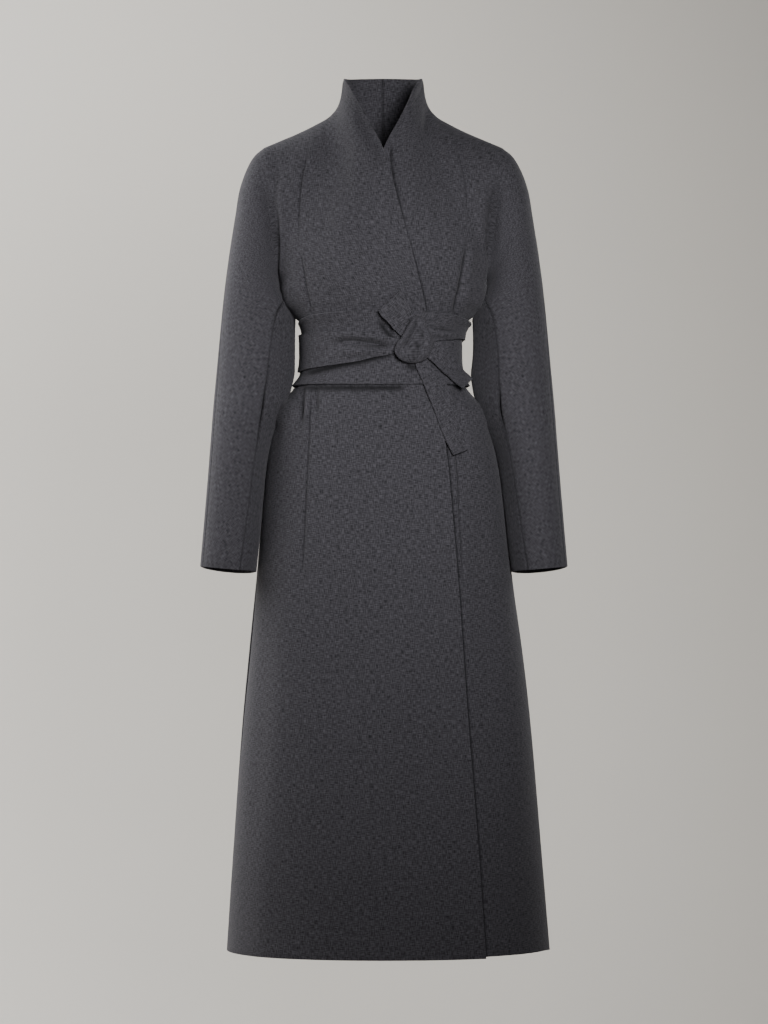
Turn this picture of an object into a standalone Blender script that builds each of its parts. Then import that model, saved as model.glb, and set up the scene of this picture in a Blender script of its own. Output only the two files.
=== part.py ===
"""Wrap coat with kimono sleeves, grown-on collar and an obi belt, in its worn form.

Metres, +Z up, the wearer faces -Y, the wearer's right is -X. The origin is the
middle of the neck base, where the wearer holds the coat up.
"""
import math

import bpy
import numpy as np

# ---------------------------------------------------------------- sizes
COAT_WALL = 0.0024          # heavy wool coating
BELT_WALL = 0.0030          # doubled belt cloth
SEAM_GAP = 0.0003           # between sewn pieces
WRAP_LIFT = 0.0038          # outer face of the top front above the under front
WRAP_MARGIN = 0.022         # the top front stays up this far past the under front's edge
WRAP_FADE = 0.040           # width over which the top front then comes down
BELT_GAP = 0.0013           # obi above the coat
TIE_GAP = 0.0019            # tie band above the obi
Z_ARM = -0.245              # level of the underarm point
Z_HEM = -1.196              # hem of the skirt
UNDER_HEM_RISE = 0.003      # the under front is this much shorter
NECK_COLUMN = 0.34          # share of the quarter turn that leads to the neck side
CHEST_RISE = 0.16           # how strongly the chest leaves the underarm level
V_POINT_Z = -0.059          # where the two fronts cross below the throat
V_LIFT_FADE = 0.050

# Body sections under the arms, outer face of the coat. Half widths to the
# wearer's right and left, depths to the front and back, power of the outline.
BODY_COLUMNS = ("z", "right", "left", "front", "back", "power")
BODY = (
    (-0.245, 0.1470, 0.1470, 0.1175, 0.1130, 2.35),
    (-0.262, 0.1424, 0.1434, 0.1136, 0.1096, 2.32),
    (-0.274, 0.1384, 0.1398, 0.1097, 0.1060, 2.30),
    (-0.284, 0.1332, 0.1348, 0.1056, 0.1022, 2.28),
    (-0.293, 0.1268, 0.1280, 0.1022, 0.0986, 2.26),
    (-0.302, 0.1165, 0.1160, 0.1000, 0.0960, 2.25),
    (-0.315, 0.1118, 0.1090, 0.0980, 0.0938, 2.25),
    (-0.330, 0.1106, 0.1071, 0.0966, 0.0921, 2.25),
    (-0.354, 0.1099, 0.1069, 0.0968, 0.0930, 2.25),
    (-0.376, 0.1130, 0.1095, 0.0990, 0.0985, 2.24),
    (-0.394, 0.1265, 0.1195, 0.1045, 0.1090, 2.22),
    (-0.417, 0.1446, 0.1375, 0.1110, 0.1200, 2.20),
    (-0.441, 0.1540, 0.1490, 0.1160, 0.1270, 2.20),
    (-0.470, 0.1620, 0.1580, 0.1200, 0.1320, 2.20),
    (-0.520, 0.1685, 0.1682, 0.1255, 0.1370, 2.20),
    (-0.669, 0.1805, 0.1850, 0.1380, 0.1480, 2.20),
    (-0.765, 0.1900, 0.1975, 0.1470, 0.1560, 2.20),
    (-0.870, 0.2005, 0.2095, 0.1565, 0.1650, 2.20),
    (-0.975, 0.2088, 0.2195, 0.1665, 0.1750, 2.20),
    (-1.196, 0.2235, 0.2385, 0.1885, 0.1960, 2.20),
)

# Front edge of each front: how far it lies on its own side of the middle.
EDGE_COLUMNS = ("z", "own_side")
EDGE = (
    (0.0480, 0.0554), (-0.0060, 0.0270), (-0.0592, 0.0000), (-0.1500, -0.0252),
    (-0.2414, -0.0499), (-0.2846, -0.0596), (-0.3435, -0.0650), (-0.3927, -0.0739),
    (-0.4560, -0.0836), (-0.5060, -0.0900), (-0.5760, -0.0962), (-0.6367, -0.1016),
    (-0.8546, -0.1170), (-1.0412, -0.1316), (-1.1960, -0.1420),
)

# Middle lines of the upper body, share of the rise from the underarm level.
MIDDLE_COLUMNS = ("rise", "y", "z")
MIDDLE_FRONT = (
    (0.00, -0.1175, -0.245), (0.08, -0.1200, -0.225), (0.20, -0.1215, -0.195), (0.42, -0.1140, -0.130),
    (0.62, -0.0960, -0.075), (0.80, -0.0730, -0.020), (1.00, -0.0500, 0.045),
)
MIDDLE_BACK = (
    (0.00, 0.1130, -0.245), (0.22, 0.1150, -0.180), (0.45, 0.1070, -0.110),
    (0.68, 0.0860, -0.040), (0.82, 0.0680, 0.003), (0.92, 0.0605, 0.030),
    (1.00, 0.0580, 0.054),
)

# Top line: round the collar edge, down the neck side and along the shoulder.
TOP_COLUMNS = ("share", "x", "y", "z")
SHOULDER_SEAM = (
    (0.34, 0.0575, 0.0120, 0.0485), (0.42, 0.0602, 0.0120, 0.0290),
    (0.50, 0.0655, 0.0118, 0.0110), (0.57, 0.0770, 0.0115, -0.0035),
    (0.66, 0.0945, 0.0105, -0.0145), (0.78, 0.1184, 0.0090, -0.0270),
    (0.90, 0.1475, 0.0060, -0.0400), (1.00, 0.1700, 0.0000, -0.0500),
)
TOP_FRONT = (
    (0.00, 0.0000, -0.0500, 0.0450), (0.12, 0.0300, -0.0430, 0.0462),
    (0.22, 0.0500, -0.0240, 0.0476), (0.27, 0.0552, -0.0100, 0.0482),
) + SHOULDER_SEAM
TOP_BACK = (
    (0.00, 0.0000, 0.0580, 0.0540), (0.12, 0.0270, 0.0540, 0.0532),
    (0.23, 0.0470, 0.0375, 0.0512),
) + SHOULDER_SEAM

# Sleeve rings from the shoulder to the cuff. Outer and inner ends of each ring,
# its middle and half depth, and the turns of the three seams round it.
SLEEVE_COLUMNS = ("ring", "out_x", "out_z", "in_x", "in_z", "mid_y", "half_depth",
                  "seam_front", "seam_back", "seam_over")
SLEEVE = (
    (0, 0.1700, -0.0500, 0.1470, -0.2450, 0.000, 0.0580, 180, 180, 0),
    (1, 0.1840, -0.0620, 0.1468, -0.2466, 0.000, 0.0582, 178, 182, 0),
    (2, 0.1960, -0.0830, 0.1464, -0.2502, 0.001, 0.0590, 171, 189, 0),
    (3, 0.2065, -0.1150, 0.1453, -0.2560, 0.003, 0.0602, 163, 197, 1),
    (4, 0.2115, -0.1470, 0.1434, -0.2640, 0.003, 0.0610, 151, 209, 2),
    (5, 0.2185, -0.1910, 0.1368, -0.2790, 0.002, 0.0612, 142, 221, 5),
    (6, 0.2265, -0.2510, 0.1262, -0.2980, 0.000, 0.0610, 121, 236, 9),
    (7, 0.2320, -0.3050, 0.1257, -0.3320, -0.003, 0.0610, 114, 240, 13),
    (8, 0.2360, -0.3500, 0.1260, -0.3680, -0.008, 0.0610, 110, 239, 17),
    (9, 0.2395, -0.3900, 0.1347, -0.4020, -0.014, 0.0610, 112, 236, 20),
    (10, 0.2425, -0.4250, 0.1528, -0.4350, -0.020, 0.0620, 124, 232, 23),
    (11, 0.2460, -0.4720, 0.1622, -0.4780, -0.024, 0.0620, 128, 228, 25),
    (12, 0.2505, -0.5300, 0.1692, -0.5360, -0.027, 0.0600, 126, 224, 26),
    (13, 0.2555, -0.5900, 0.1742, -0.5960, -0.029, 0.0565, 121, 220, 26),
    (14, 0.2605, -0.6480, 0.1802, -0.6550, -0.031, 0.0530, 117, 215, 26),
)
CUFF_BACK_DROP = 0.0065

# How much further out the left arm hangs, outer and inner ends.
LEFT_ARM_COLUMNS = ("ring", "out_x", "in_x")
LEFT_ARM = (
    (0, 0.0, 0.0), (4, 0.0025, 0.0020), (7, 0.0025, 0.0030), (9, 0.0025, -0.0040),
    (10, 0.0025, -0.0056), (11, 0.0025, -0.0025), (12, 0.0025, 0.0), (14, 0.0025, 0.0025),
)

# Obi and tie band: turn round the waist from the middle front, to the left.
OBI_COLUMNS = ("turn", "top", "bottom")
OBI = (
    (-180, -0.2890, -0.3930), (-130, -0.2950, -0.3935), (-90, -0.3000, -0.3940),
    (-65, -0.2945, -0.3938), (-35, -0.2870, -0.3932), (0, -0.2842, -0.3930),
    (35, -0.2868, -0.3930), (65, -0.2950, -0.3935), (90, -0.3020, -0.3940),
    (130, -0.2950, -0.3935), (180, -0.2890, -0.3930),
)
TIE = (
    (-180, -0.3170, -0.3580), (-135, -0.3175, -0.3670), (-90, -0.3175, -0.3735),
    (-60, -0.3165, -0.3700), (-32, -0.3154, -0.3640), (-15, -0.3160, -0.3590),
    (-4, -0.3190, -0.3525), (9, -0.3255, -0.3465), (20, -0.3150, -0.3420),
    (30, -0.2960, -0.3340), (38, -0.2890, -0.3285), (50, -0.2900, -0.3255),
    (65, -0.2935, -0.3235), (90, -0.2990, -0.3245), (135, -0.3090, -0.3420),
    (180, -0.3170, -0.3580),
)

# Straps lying on the belt and skirt: two edges and the height of the middle of
# the cloth above the coat form.
STRAP_COLUMNS = ("edge_x", "edge_z", "other_x", "other_z", "height")
LOOP = (
    (0.0289, -0.3245, 0.0500, -0.2935, 0.0146),
    (0.0200, -0.3165, 0.0430, -0.2870, 0.0142),
    (0.0080, -0.3000, 0.0350, -0.2745, 0.0130),
    (-0.0010, -0.2880, 0.0285, -0.2640, 0.0112),
    (-0.0050, -0.2825, 0.0250, -0.2590, 0.0130),
    (-0.0056, -0.2818, 0.0245, -0.2583, 0.0165),
    (-0.0045, -0.2835, 0.0255, -0.2600, 0.0200),
    (0.0010, -0.2910, 0.0300, -0.2660, 0.0222),
    (0.0090, -0.3015, 0.0362, -0.2760, 0.0234),
    (0.0160, -0.3120, 0.0415, -0.2860, 0.0240),
)
TAIL_SIDE = (
    (0.0650, -0.3230, 0.0540, -0.3440, 0.0155),
    (0.0719, -0.3286, 0.0618, -0.3523, 0.0155),
    (0.0838, -0.3371, 0.0710, -0.3615, 0.0155),
    (0.0925, -0.3455, 0.0800, -0.3710, 0.0155),
    (0.1010, -0.3553, 0.0890, -0.3815, 0.0155),
    (0.1140, -0.3725, 0.1000, -0.3925, 0.0155),
    (0.1262, -0.3900, 0.1134, -0.4041, 0.0156),
)
TAIL_DOWN = (
    (0.0400, -0.3480, 0.0540, -0.3490, 0.0124),
    (0.0456, -0.3641, 0.0640, -0.3600, 0.0118),
    (0.0515, -0.3812, 0.0740, -0.3745, 0.0117),
    (0.0583, -0.3965, 0.0850, -0.3860, 0.0111),
    (0.0650, -0.4130, 0.0920, -0.4010, 0.0094),
    (0.0719, -0.4288, 0.0991, -0.4186, 0.0080),
    (0.0838, -0.4611, 0.1094, -0.4458, 0.0070),
    (0.0991, -0.4919, 0.1196, -0.4840, 0.0068),
)
KNOT_COLUMNS = ("x", "z", "half_width", "low", "high")
KNOT = (
    (0.0412, -0.3629, 0.0060, 0.0180, 0.0200),
    (0.0417, -0.3594, 0.0151, 0.0178, 0.0250),
    (0.0420, -0.3510, 0.0232, 0.0178, 0.0288),
    (0.0423, -0.3439, 0.0263, 0.0178, 0.0302),
    (0.0459, -0.3341, 0.0263, 0.0178, 0.0308),
    (0.0483, -0.3229, 0.0210, 0.0178, 0.0302),
    (0.0490, -0.3033, 0.0125, 0.0178, 0.0270),
    (0.0508, -0.2935, 0.0085, 0.0178, 0.0235),
    (0.0512, -0.2890, 0.0050, 0.0180, 0.0200),
)

# How many cells each direction is cut into.
COLUMNS_EDGE_TO_NECK = 8
COLUMNS_NECK_TO_SIDE = 5
COLUMNS_BACK_TO_NECK = 4
CHEST_ROWS = 8
UNDER_SLEEVE_COLUMNS = 4
BELT_COLUMNS = 44
OBI_ROWS = 7
TIE_ROWS = 4
STRAP_COLUMNS_COUNT = 3
STRAP_STEPS = 2
KNOT_SIDES = 10

WOOL_COLOUR = (0.055, 0.053, 0.060, 1.0)


# ---------------------------------------------------------------- curves
def follow(rows, at, column):
    """Value of a table column at a place, along a soft curve that never overshoots."""
    keys = [row[0] for row in rows]
    values = [row[column] for row in rows]
    if keys[0] > keys[-1]:
        keys.reverse()
        values.reverse()
    if at <= keys[0]:
        return values[0]
    if at >= keys[-1]:
        return values[-1]
    cell = max(i for i in range(len(keys) - 1) if keys[i] <= at)
    slopes = []
    for i in (cell, cell + 1):
        if i == 0 or i == len(keys) - 1:
            j = min(i, len(keys) - 2)
            slopes.append((values[j + 1] - values[j]) / (keys[j + 1] - keys[j]))
            continue
        before = (values[i] - values[i - 1]) / (keys[i] - keys[i - 1])
        after = (values[i + 1] - values[i]) / (keys[i + 1] - keys[i])
        slopes.append(0.0 if before * after <= 0.0 else 2.0 * before * after / (before + after))
    width = keys[cell + 1] - keys[cell]
    t = (at - keys[cell]) / width
    return ((1 + 2 * t) * (1 - t) ** 2 * values[cell] + t * (1 - t) ** 2 * width * slopes[0]
            + t * t * (3 - 2 * t) * values[cell + 1] + t * t * (t - 1) * width * slopes[1])


def body(column, z):
    """One column of the body table at a level."""
    return follow(BODY, z, BODY_COLUMNS.index(column))


def soft(t):
    """Smooth step from 0 to 1."""
    t = min(1.0, max(0.0, t))
    return t * t * (3.0 - 2.0 * t)


def section(side, z, share, back=False):
    """Point of the coat form under the arms; a share of 1 is the side seam."""
    turn = math.radians(90.0 * abs(share))
    across = side if share >= 0.0 else -side
    half = body("left" if across > 0.0 else "right", z)
    depth = body("back", z) if back else -body("front", z)
    reach = 2.0 / body("power", z)
    x = across * half * math.sin(turn) ** reach
    y = depth * max(0.0, math.cos(turn)) ** reach
    return np.array((x, y, z))


def ring(side, station, turn):
    """Point of a sleeve ring; 0 is the overarm, 90 the front, 180 the underarm."""
    out_x, out_z, in_x, in_z, mid_y, half = (follow(SLEEVE, station, i) for i in range(1, 7))
    angle = math.radians(turn)
    if side > 0.0:
        out_x += follow(LEFT_ARM, station, 1)
        in_x += follow(LEFT_ARM, station, 2)
    cos_turn = math.cos(angle)
    x = (out_x + in_x) / 2 + cos_turn * (out_x - in_x) / 2
    z = (out_z + in_z) / 2 + cos_turn * (out_z - in_z) / 2
    y = mid_y - half * math.sin(angle)
    drop = CUFF_BACK_DROP * soft((station - 11.0) / 3.0) * max(0.0, -math.sin(angle))
    return np.array((side * x, y, z - drop))


def chest(share, rise, back):
    """Point of the upper body form on the wearer's left, from chest to shoulder."""
    a = abs(share)
    low, high, leave, arrive = chest_ends(a, back)
    middle_low, middle_high, middle_leave, middle_arrive = chest_ends(0.0, back)
    side_low, side_high, side_leave, side_arrive = chest_ends(1.0, back)
    table = MIDDLE_BACK if back else MIDDLE_FRONT
    middle = np.array((0.0, follow(table, rise, 1), follow(table, rise, 2)))
    turn = 180.0 * (1.0 - rise)
    armhole = ring(1.0, 0.0, -turn if back else turn)
    point = between(low, high, leave, arrive, rise)
    at_middle = between(middle_low, middle_high, middle_leave, middle_arrive, rise)
    at_side = between(side_low, side_high, side_leave, side_arrive, rise)
    pull = soft(a) ** (1.0 + 10.0 * (1.0 - soft(rise / 0.85)))
    point = point + (1.0 - soft(a)) * (middle - at_middle) + pull * (armhole - at_side)
    if share < 0.0:
        point[0] = -point[0]
    return point


def chest_ends(a, back):
    """Low and high ends of one chest line with the directions it leaves and arrives in."""
    low = section(1.0, Z_ARM, a, back)
    leave = (low - section(1.0, Z_ARM - 0.012, a, back)) / 0.012 * CHEST_RISE
    table = TOP_BACK if back else TOP_FRONT
    high = np.array([follow(table, a, i) for i in (1, 2, 3)])
    over = soft((a - 0.10) / 0.60)
    way = -1.0 if back else 1.0
    arrive = np.array((-0.02 * (1.0 - over), way * (0.02 + 0.17 * over), 0.16 * (1.0 - over)))
    if back:
        arrive = np.array((-0.02 * (1.0 - over), -0.01 - 0.18 * over, 0.16 * (1.0 - over)))
    return low, high, leave, arrive


def between(low, high, leave, arrive, t):
    """Cubic from one point to another with given end directions."""
    return ((1 + 2 * t) * (1 - t) ** 2 * low + t * (1 - t) ** 2 * leave
            + t * t * (3 - 2 * t) * high + t * t * (t - 1) * arrive)


def edge_share(side, z):
    """Share at which a front ends, on the body sections under the arms."""
    own = follow(EDGE, z, 1)
    half = body("right" if side > 0.0 else "left", z)
    return -math.asin((-own / half) ** (body("power", z) / 2.0)) / (math.pi / 2.0)


def chest_edge_share(rise):
    """Share at which a front ends, on the upper body."""
    low, high = -0.6, NECK_COLUMN
    for _ in range(40):
        mid = (low + high) / 2
        point = chest(mid, rise, False)
        if point[0] < follow(EDGE, point[2], 1):
            low = mid
        else:
            high = mid
    return (low + high) / 2


# ---------------------------------------------------------------- cloth sheets
class Sheet:
    """Cells of cloth between shared points, later given a wall."""

    def __init__(self):
        self.points = []
        self.keys = {}
        self.cells = []

    def index(self, point):
        key = tuple(round(float(c), 6) for c in point)
        if key not in self.keys:
            self.keys[key] = len(self.points)
            self.points.append(np.array(point, dtype=float))
        return self.keys[key]

    def add(self, rows, flip=False):
        """Add a grid of points given as rows."""
        for upper, lower in zip(rows[:-1], rows[1:]):
            for j in range(len(upper) - 1):
                cell = [self.index(p) for p in (upper[j], upper[j + 1], lower[j + 1], lower[j])]
                corners = []
                for i in cell:
                    if i not in corners:
                        corners.append(i)
                if len(corners) >= 3:
                    self.cells.append(corners[::-1] if flip else corners)

    def cell_normal(self, cell):
        """Area-weighted normal of a cell."""
        total = np.zeros(3)
        for i in range(1, len(cell) - 1):
            a, b, c = (self.points[k] for k in (cell[0], cell[i], cell[i + 1]))
            total += np.cross(b - a, c - a)
        return total


def gather_normals(sheets):
    """Normals shared by every sheet that meets at a point."""
    sums = {}
    for sheet in sheets:
        names = {i: key for key, i in sheet.keys.items()}
        for cell in sheet.cells:
            normal = sheet.cell_normal(cell)
            for i in cell:
                key = names[i]
                sums[key] = sums.get(key, np.zeros(3)) + normal
    return {key: total / max(1e-12, float(np.linalg.norm(total))) for key, total in sums.items()}


def rim_edges(cells):
    """Edges used by one cell only, in the cell's direction, with that cell."""
    seen = {}
    for number, cell in enumerate(cells):
        for i, start in enumerate(cell):
            end = cell[(i + 1) % len(cell)]
            seen.setdefault(frozenset((start, end)), []).append((start, end, number))
    return [uses[0] for uses in seen.values() if len(uses) == 1]


def walled(name, sheet, normals, outer, inner, gap=SEAM_GAP):
    """Object with a wall between two heights above the sheet, drawn in at its rim."""
    names = {i: key for key, i in sheet.keys.items()}
    rim = rim_edges(sheet.cells)
    pulls = {}
    for start, end, number in rim:
        a, b = sheet.points[start], sheet.points[end]
        centre = sum(sheet.points[i] for i in sheet.cells[number]) / len(sheet.cells[number])
        along = (b - a) / max(1e-12, float(np.linalg.norm(b - a)))
        inward = (centre - a) - along * float(np.dot(centre - a, along))
        inward = inward / max(1e-12, float(np.linalg.norm(inward)))
        pulls.setdefault(start, []).append(inward)
        pulls.setdefault(end, []).append(inward)
    count = len(sheet.points)
    front, back = [], []
    for i, point in enumerate(sheet.points):
        if i in pulls:
            first, last = pulls[i][0], pulls[i][-1]
            spread = max(0.5, 1.0 + float(np.dot(first, last)))
            point = point + (first + last) / spread * gap / 2
        normal = normals[names[i]]
        high = outer(sheet.points[i]) if callable(outer) else outer
        low = inner(sheet.points[i]) if callable(inner) else inner
        front.append(tuple(point + normal * high))
        back.append(tuple(point + normal * low))
    faces = [list(cell) for cell in sheet.cells]
    faces += [[i + count for i in reversed(cell)] for cell in sheet.cells]
    faces += [[end, start, start + count, end + count] for start, end, _ in rim]
    return add_object(name, front + back, faces)


def add_object(name, points, faces):
    """Mesh object in the coat collection with its own wool material."""
    mesh = bpy.data.meshes.new(name)
    mesh.from_pydata([tuple(map(float, p)) for p in points], [], faces)
    mesh.validate()
    mesh.update()
    material = bpy.data.materials.new(name + "_wool")
    material.use_nodes = True
    shader = material.node_tree.nodes["Principled BSDF"]
    shader.inputs["Base Color"].default_value = WOOL_COLOUR
    shader.inputs["Roughness"].default_value = 0.92
    mesh.materials.append(material)
    thing = bpy.data.objects.new(name, mesh)
    COAT.objects.link(thing)
    return thing


def facing_out(rows, centres):
    """Whether a grid's cells, wound row by row, already face away from its centres."""
    total = 0.0
    for i in range(len(rows) - 1):
        for j in range(len(rows[0]) - 1):
            a, b, c = rows[i][j], rows[i][j + 1], rows[i + 1][j]
            total += float(np.dot(np.cross(b - a, c - a), a - centres[i]))
    return total > 0.0


# ---------------------------------------------------------------- coat
def spread(start, stop, count):
    """Evenly spaced shares with both ends."""
    return [start + (stop - start) * i / count for i in range(count + 1)]


def panel_shares(first, back):
    """Shares along one row of a panel, with a column kept at the neck side."""
    near = COLUMNS_BACK_TO_NECK if back else COLUMNS_EDGE_TO_NECK
    return (spread(first, NECK_COLUMN, near)[:-1]
            + spread(NECK_COLUMN, 1.0, COLUMNS_NECK_TO_SIDE))


def panel(side, back, hem_rise=0.0):
    """Front or back piece with its half of the kimono sleeve."""
    sheet = Sheet()
    skirt = []
    for row in BODY:
        z = row[0]
        first = 0.0 if back else edge_share(side, z)
        points = [section(side, z, share, back) for share in panel_shares(first, back)]
        if z == Z_HEM:
            for point, share in zip(points, panel_shares(first, back)):
                point[2] += hem_rise * (1.0 - soft((share - 0.8) / 0.2))
        skirt.append(points)
    levels = [np.array((0.0, 0.0, row[0])) for row in BODY]
    sheet.add(skirt, flip=not facing_out(skirt, levels))
    upper = []
    rises = spread(0.0, 1.0, CHEST_ROWS)
    for rise in rises:
        first = 0.0 if back else chest_edge_share(rise)
        points = [chest(share, rise, back) for share in panel_shares(first, back)]
        upper.append([np.array((side * p[0], p[1], p[2])) for p in points])
    upper[0] = skirt[0]
    levels = [np.array((0.0, 0.0, -0.15))] * len(upper)
    sheet.add(upper, flip=not facing_out(upper, levels))
    sleeve = []
    centres = []
    for row in SLEEVE:
        station = row[0]
        seam = row[8] - 360.0 if back else row[7]
        over = row[9]
        turns = [seam + (over - seam) * rise for rise in rises]
        points = [ring(side, station, turn) for turn in turns]
        sleeve.append(points)
        centres.append((ring(side, station, 0.0) + ring(side, station, 180.0)) / 2)
    sleeve[0] = [row[-1] for row in upper]
    sheet.add(sleeve, flip=not facing_out(sleeve, centres))
    return sheet


def under_sleeve(side):
    """Long piece under the arm between the two lower sleeve seams."""
    sheet = Sheet()
    rows = []
    centres = []
    stations = [row[0] for row in SLEEVE[1:]]
    for station in stations:
        first, last = follow(SLEEVE, station, 7), follow(SLEEVE, station, 8)
        rows.append([ring(side, station, turn) for turn in spread(first, last, UNDER_SLEEVE_COLUMNS)])
        centres.append((ring(side, station, 0.0) + ring(side, station, 180.0)) / 2)
    sheet.add(rows, flip=not facing_out(rows, centres))
    return sheet


def wrap_lift(point):
    """Height of the top front above the coat form."""
    x, z = float(point[0]), float(point[2])
    covered = max(0.0, -follow(EDGE, z, 1))
    beside = 1.0 - soft((-x - covered - WRAP_MARGIN) / WRAP_FADE)
    above = 1.0 - soft((z - V_POINT_Z) / V_LIFT_FADE)
    return WRAP_LIFT * beside * above


# ---------------------------------------------------------------- belt
def waist(turn, z):
    """Point and normal of the coat form at a turn round the waist, to the left."""
    def at(angle, level):
        angle = (angle + 180.0) % 360.0 - 180.0
        side = 1.0 if angle >= 0.0 else -1.0
        back = abs(angle) > 90.0
        share = (180.0 - abs(angle)) / 90.0 if back else abs(angle) / 90.0
        return section(side, level, share, back)
    along = at(turn + 2.5, z) - at(turn - 2.5, z)
    up = at(turn, z + 0.004) - at(turn, z - 0.004)
    up[2] = max(up[2], 0.008)
    normal = np.cross(along, up)
    return at(turn, z), normal / np.linalg.norm(normal)


def belt_lift(point):
    """Height of the coat under the belt above its form, soft on both sides."""
    x, z = float(point[0]), float(point[2])
    covered = max(0.0, -follow(EDGE, z, 1))
    if point[1] > 0.0:
        return 0.0
    return WRAP_LIFT * (1.0 - soft((abs(x) - covered - WRAP_MARGIN) / WRAP_FADE))


def band(name, table, rows, low):
    """Band round the waist between the top and bottom lines of its table."""
    high = low + BELT_WALL
    points, faces = [], []
    for height in (high, low):
        for i in range(rows + 1):
            for j in range(BELT_COLUMNS):
                turn = -180.0 + 360.0 * j / BELT_COLUMNS
                top, bottom = follow(table, turn, 1), follow(table, turn, 2)
                z = top + (bottom - top) * i / rows
                point, normal = waist(turn, z)
                points.append(point + normal * (height + belt_lift(point)))
    layer = (rows + 1) * BELT_COLUMNS
    for i in range(rows):
        for j in range(BELT_COLUMNS):
            k = (j + 1) % BELT_COLUMNS
            a, b = i * BELT_COLUMNS + j, i * BELT_COLUMNS + k
            c, d = a + BELT_COLUMNS, b + BELT_COLUMNS
            faces.append([a, c, d, b])
            faces.append([a + layer, b + layer, d + layer, c + layer])
    for j in range(BELT_COLUMNS):
        k = (j + 1) % BELT_COLUMNS
        last = rows * BELT_COLUMNS
        faces.append([j, k, k + layer, j + layer])
        faces.append([last + k, last + j, last + j + layer, last + k + layer])
    return add_object(name, points, faces)


def place(x, z, height):
    """Point over the front of the coat form that shows at a given x and z."""
    low, high = -90.0, 90.0
    for _ in range(40):
        mid = (low + high) / 2
        point, normal = waist(mid, z)
        point = point + normal * (height + belt_lift(point))
        if point[0] < x:
            low = mid
        else:
            high = mid
    return point


def strap(name, table):
    """Doubled strap laid along the two edges of its table."""
    sheet = Sheet()
    rows = []
    numbered = [(i,) + row for i, row in enumerate(table)]
    for station in spread(0.0, len(table) - 1.0, STRAP_STEPS * (len(table) - 1)):
        edge_x, edge_z, other_x, other_z, height = (follow(numbered, station, i) for i in range(1, 6))
        row = []
        for share in spread(0.0, 1.0, STRAP_COLUMNS_COUNT):
            x = edge_x + (other_x - edge_x) * share
            z = edge_z + (other_z - edge_z) * share
            row.append(place(x, z, height - WRAP_LIFT))
        rows.append(row)
    sheet.add(rows)
    return walled(name, sheet, gather_normals([sheet]), BELT_WALL / 2, -BELT_WALL / 2, 0.0)


def knot(name, table):
    """Folded lump of the knot, a ring of points at each row of its table."""
    points, faces = [], []
    for x, z, half, low, high in table:
        for i in range(KNOT_SIDES):
            angle = 2.0 * math.pi * i / KNOT_SIDES
            reach = half * math.cos(angle)
            height = (low + high) / 2 + (high - low) / 2 * math.sin(angle)
            points.append(place(x + reach, z, height - WRAP_LIFT))
    for i in range(len(table) - 1):
        for j in range(KNOT_SIDES):
            k = (j + 1) % KNOT_SIDES
            a, b = i * KNOT_SIDES + j, i * KNOT_SIDES + k
            faces.append([a, a + KNOT_SIDES, b + KNOT_SIDES, b])
    end = (len(table) - 1) * KNOT_SIDES
    faces.append(list(range(KNOT_SIDES)))
    faces.append([end + i for i in reversed(range(KNOT_SIDES))])
    return add_object(name, points, faces)


# ---------------------------------------------------------------- build
for thing in list(bpy.data.objects):
    bpy.data.objects.remove(thing, do_unlink=True)

COAT = bpy.data.collections.new("wrap_coat")
bpy.context.scene.collection.children.link(COAT)

SHEETS = {
    "front_right": panel(-1.0, False),
    "front_left": panel(1.0, False, UNDER_HEM_RISE),
    "back_right": panel(-1.0, True),
    "back_left": panel(1.0, True),
    "under_sleeve_right": under_sleeve(-1.0),
    "under_sleeve_left": under_sleeve(1.0),
}
NORMALS = gather_normals(SHEETS.values())

for sheet_name, cloth in SHEETS.items():
    if sheet_name == "front_right":
        walled(sheet_name, cloth, NORMALS, wrap_lift, lambda p: wrap_lift(p) - COAT_WALL)
    else:
        walled(sheet_name, cloth, NORMALS, 0.0, -COAT_WALL)

OBI_LOW = BELT_GAP
TIE_LOW = BELT_GAP + BELT_WALL + TIE_GAP
band("obi", OBI, OBI_ROWS, OBI_LOW)
band("tie_band", TIE, TIE_ROWS, TIE_LOW)
strap("knot_loop", LOOP)
strap("tail_side", TAIL_SIDE)
strap("tail_down", TAIL_DOWN)
knot("knot", KNOT)
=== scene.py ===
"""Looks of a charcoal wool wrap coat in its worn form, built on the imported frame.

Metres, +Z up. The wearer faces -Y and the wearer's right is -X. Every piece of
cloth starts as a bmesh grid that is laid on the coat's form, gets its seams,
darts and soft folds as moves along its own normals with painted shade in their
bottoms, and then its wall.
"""

import logging
import math
from collections.abc import Callable
from dataclasses import dataclass, field
from enum import Enum

import bmesh
import bpy
import numpy as np
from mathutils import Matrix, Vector, kdtree


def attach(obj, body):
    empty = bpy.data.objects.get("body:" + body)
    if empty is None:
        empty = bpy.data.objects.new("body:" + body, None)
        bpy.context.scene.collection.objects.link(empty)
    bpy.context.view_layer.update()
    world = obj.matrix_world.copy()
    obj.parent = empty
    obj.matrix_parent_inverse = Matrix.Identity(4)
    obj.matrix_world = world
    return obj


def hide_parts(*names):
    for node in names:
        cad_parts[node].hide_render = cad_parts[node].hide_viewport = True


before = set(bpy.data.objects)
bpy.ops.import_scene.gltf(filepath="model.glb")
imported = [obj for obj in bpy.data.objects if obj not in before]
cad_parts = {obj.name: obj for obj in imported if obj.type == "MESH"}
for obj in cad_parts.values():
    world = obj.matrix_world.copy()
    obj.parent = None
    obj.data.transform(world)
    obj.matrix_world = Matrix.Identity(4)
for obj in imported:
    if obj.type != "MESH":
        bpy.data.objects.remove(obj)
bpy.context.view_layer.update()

LOG = logging.getLogger("wrap_coat")
Array = np.ndarray

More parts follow.
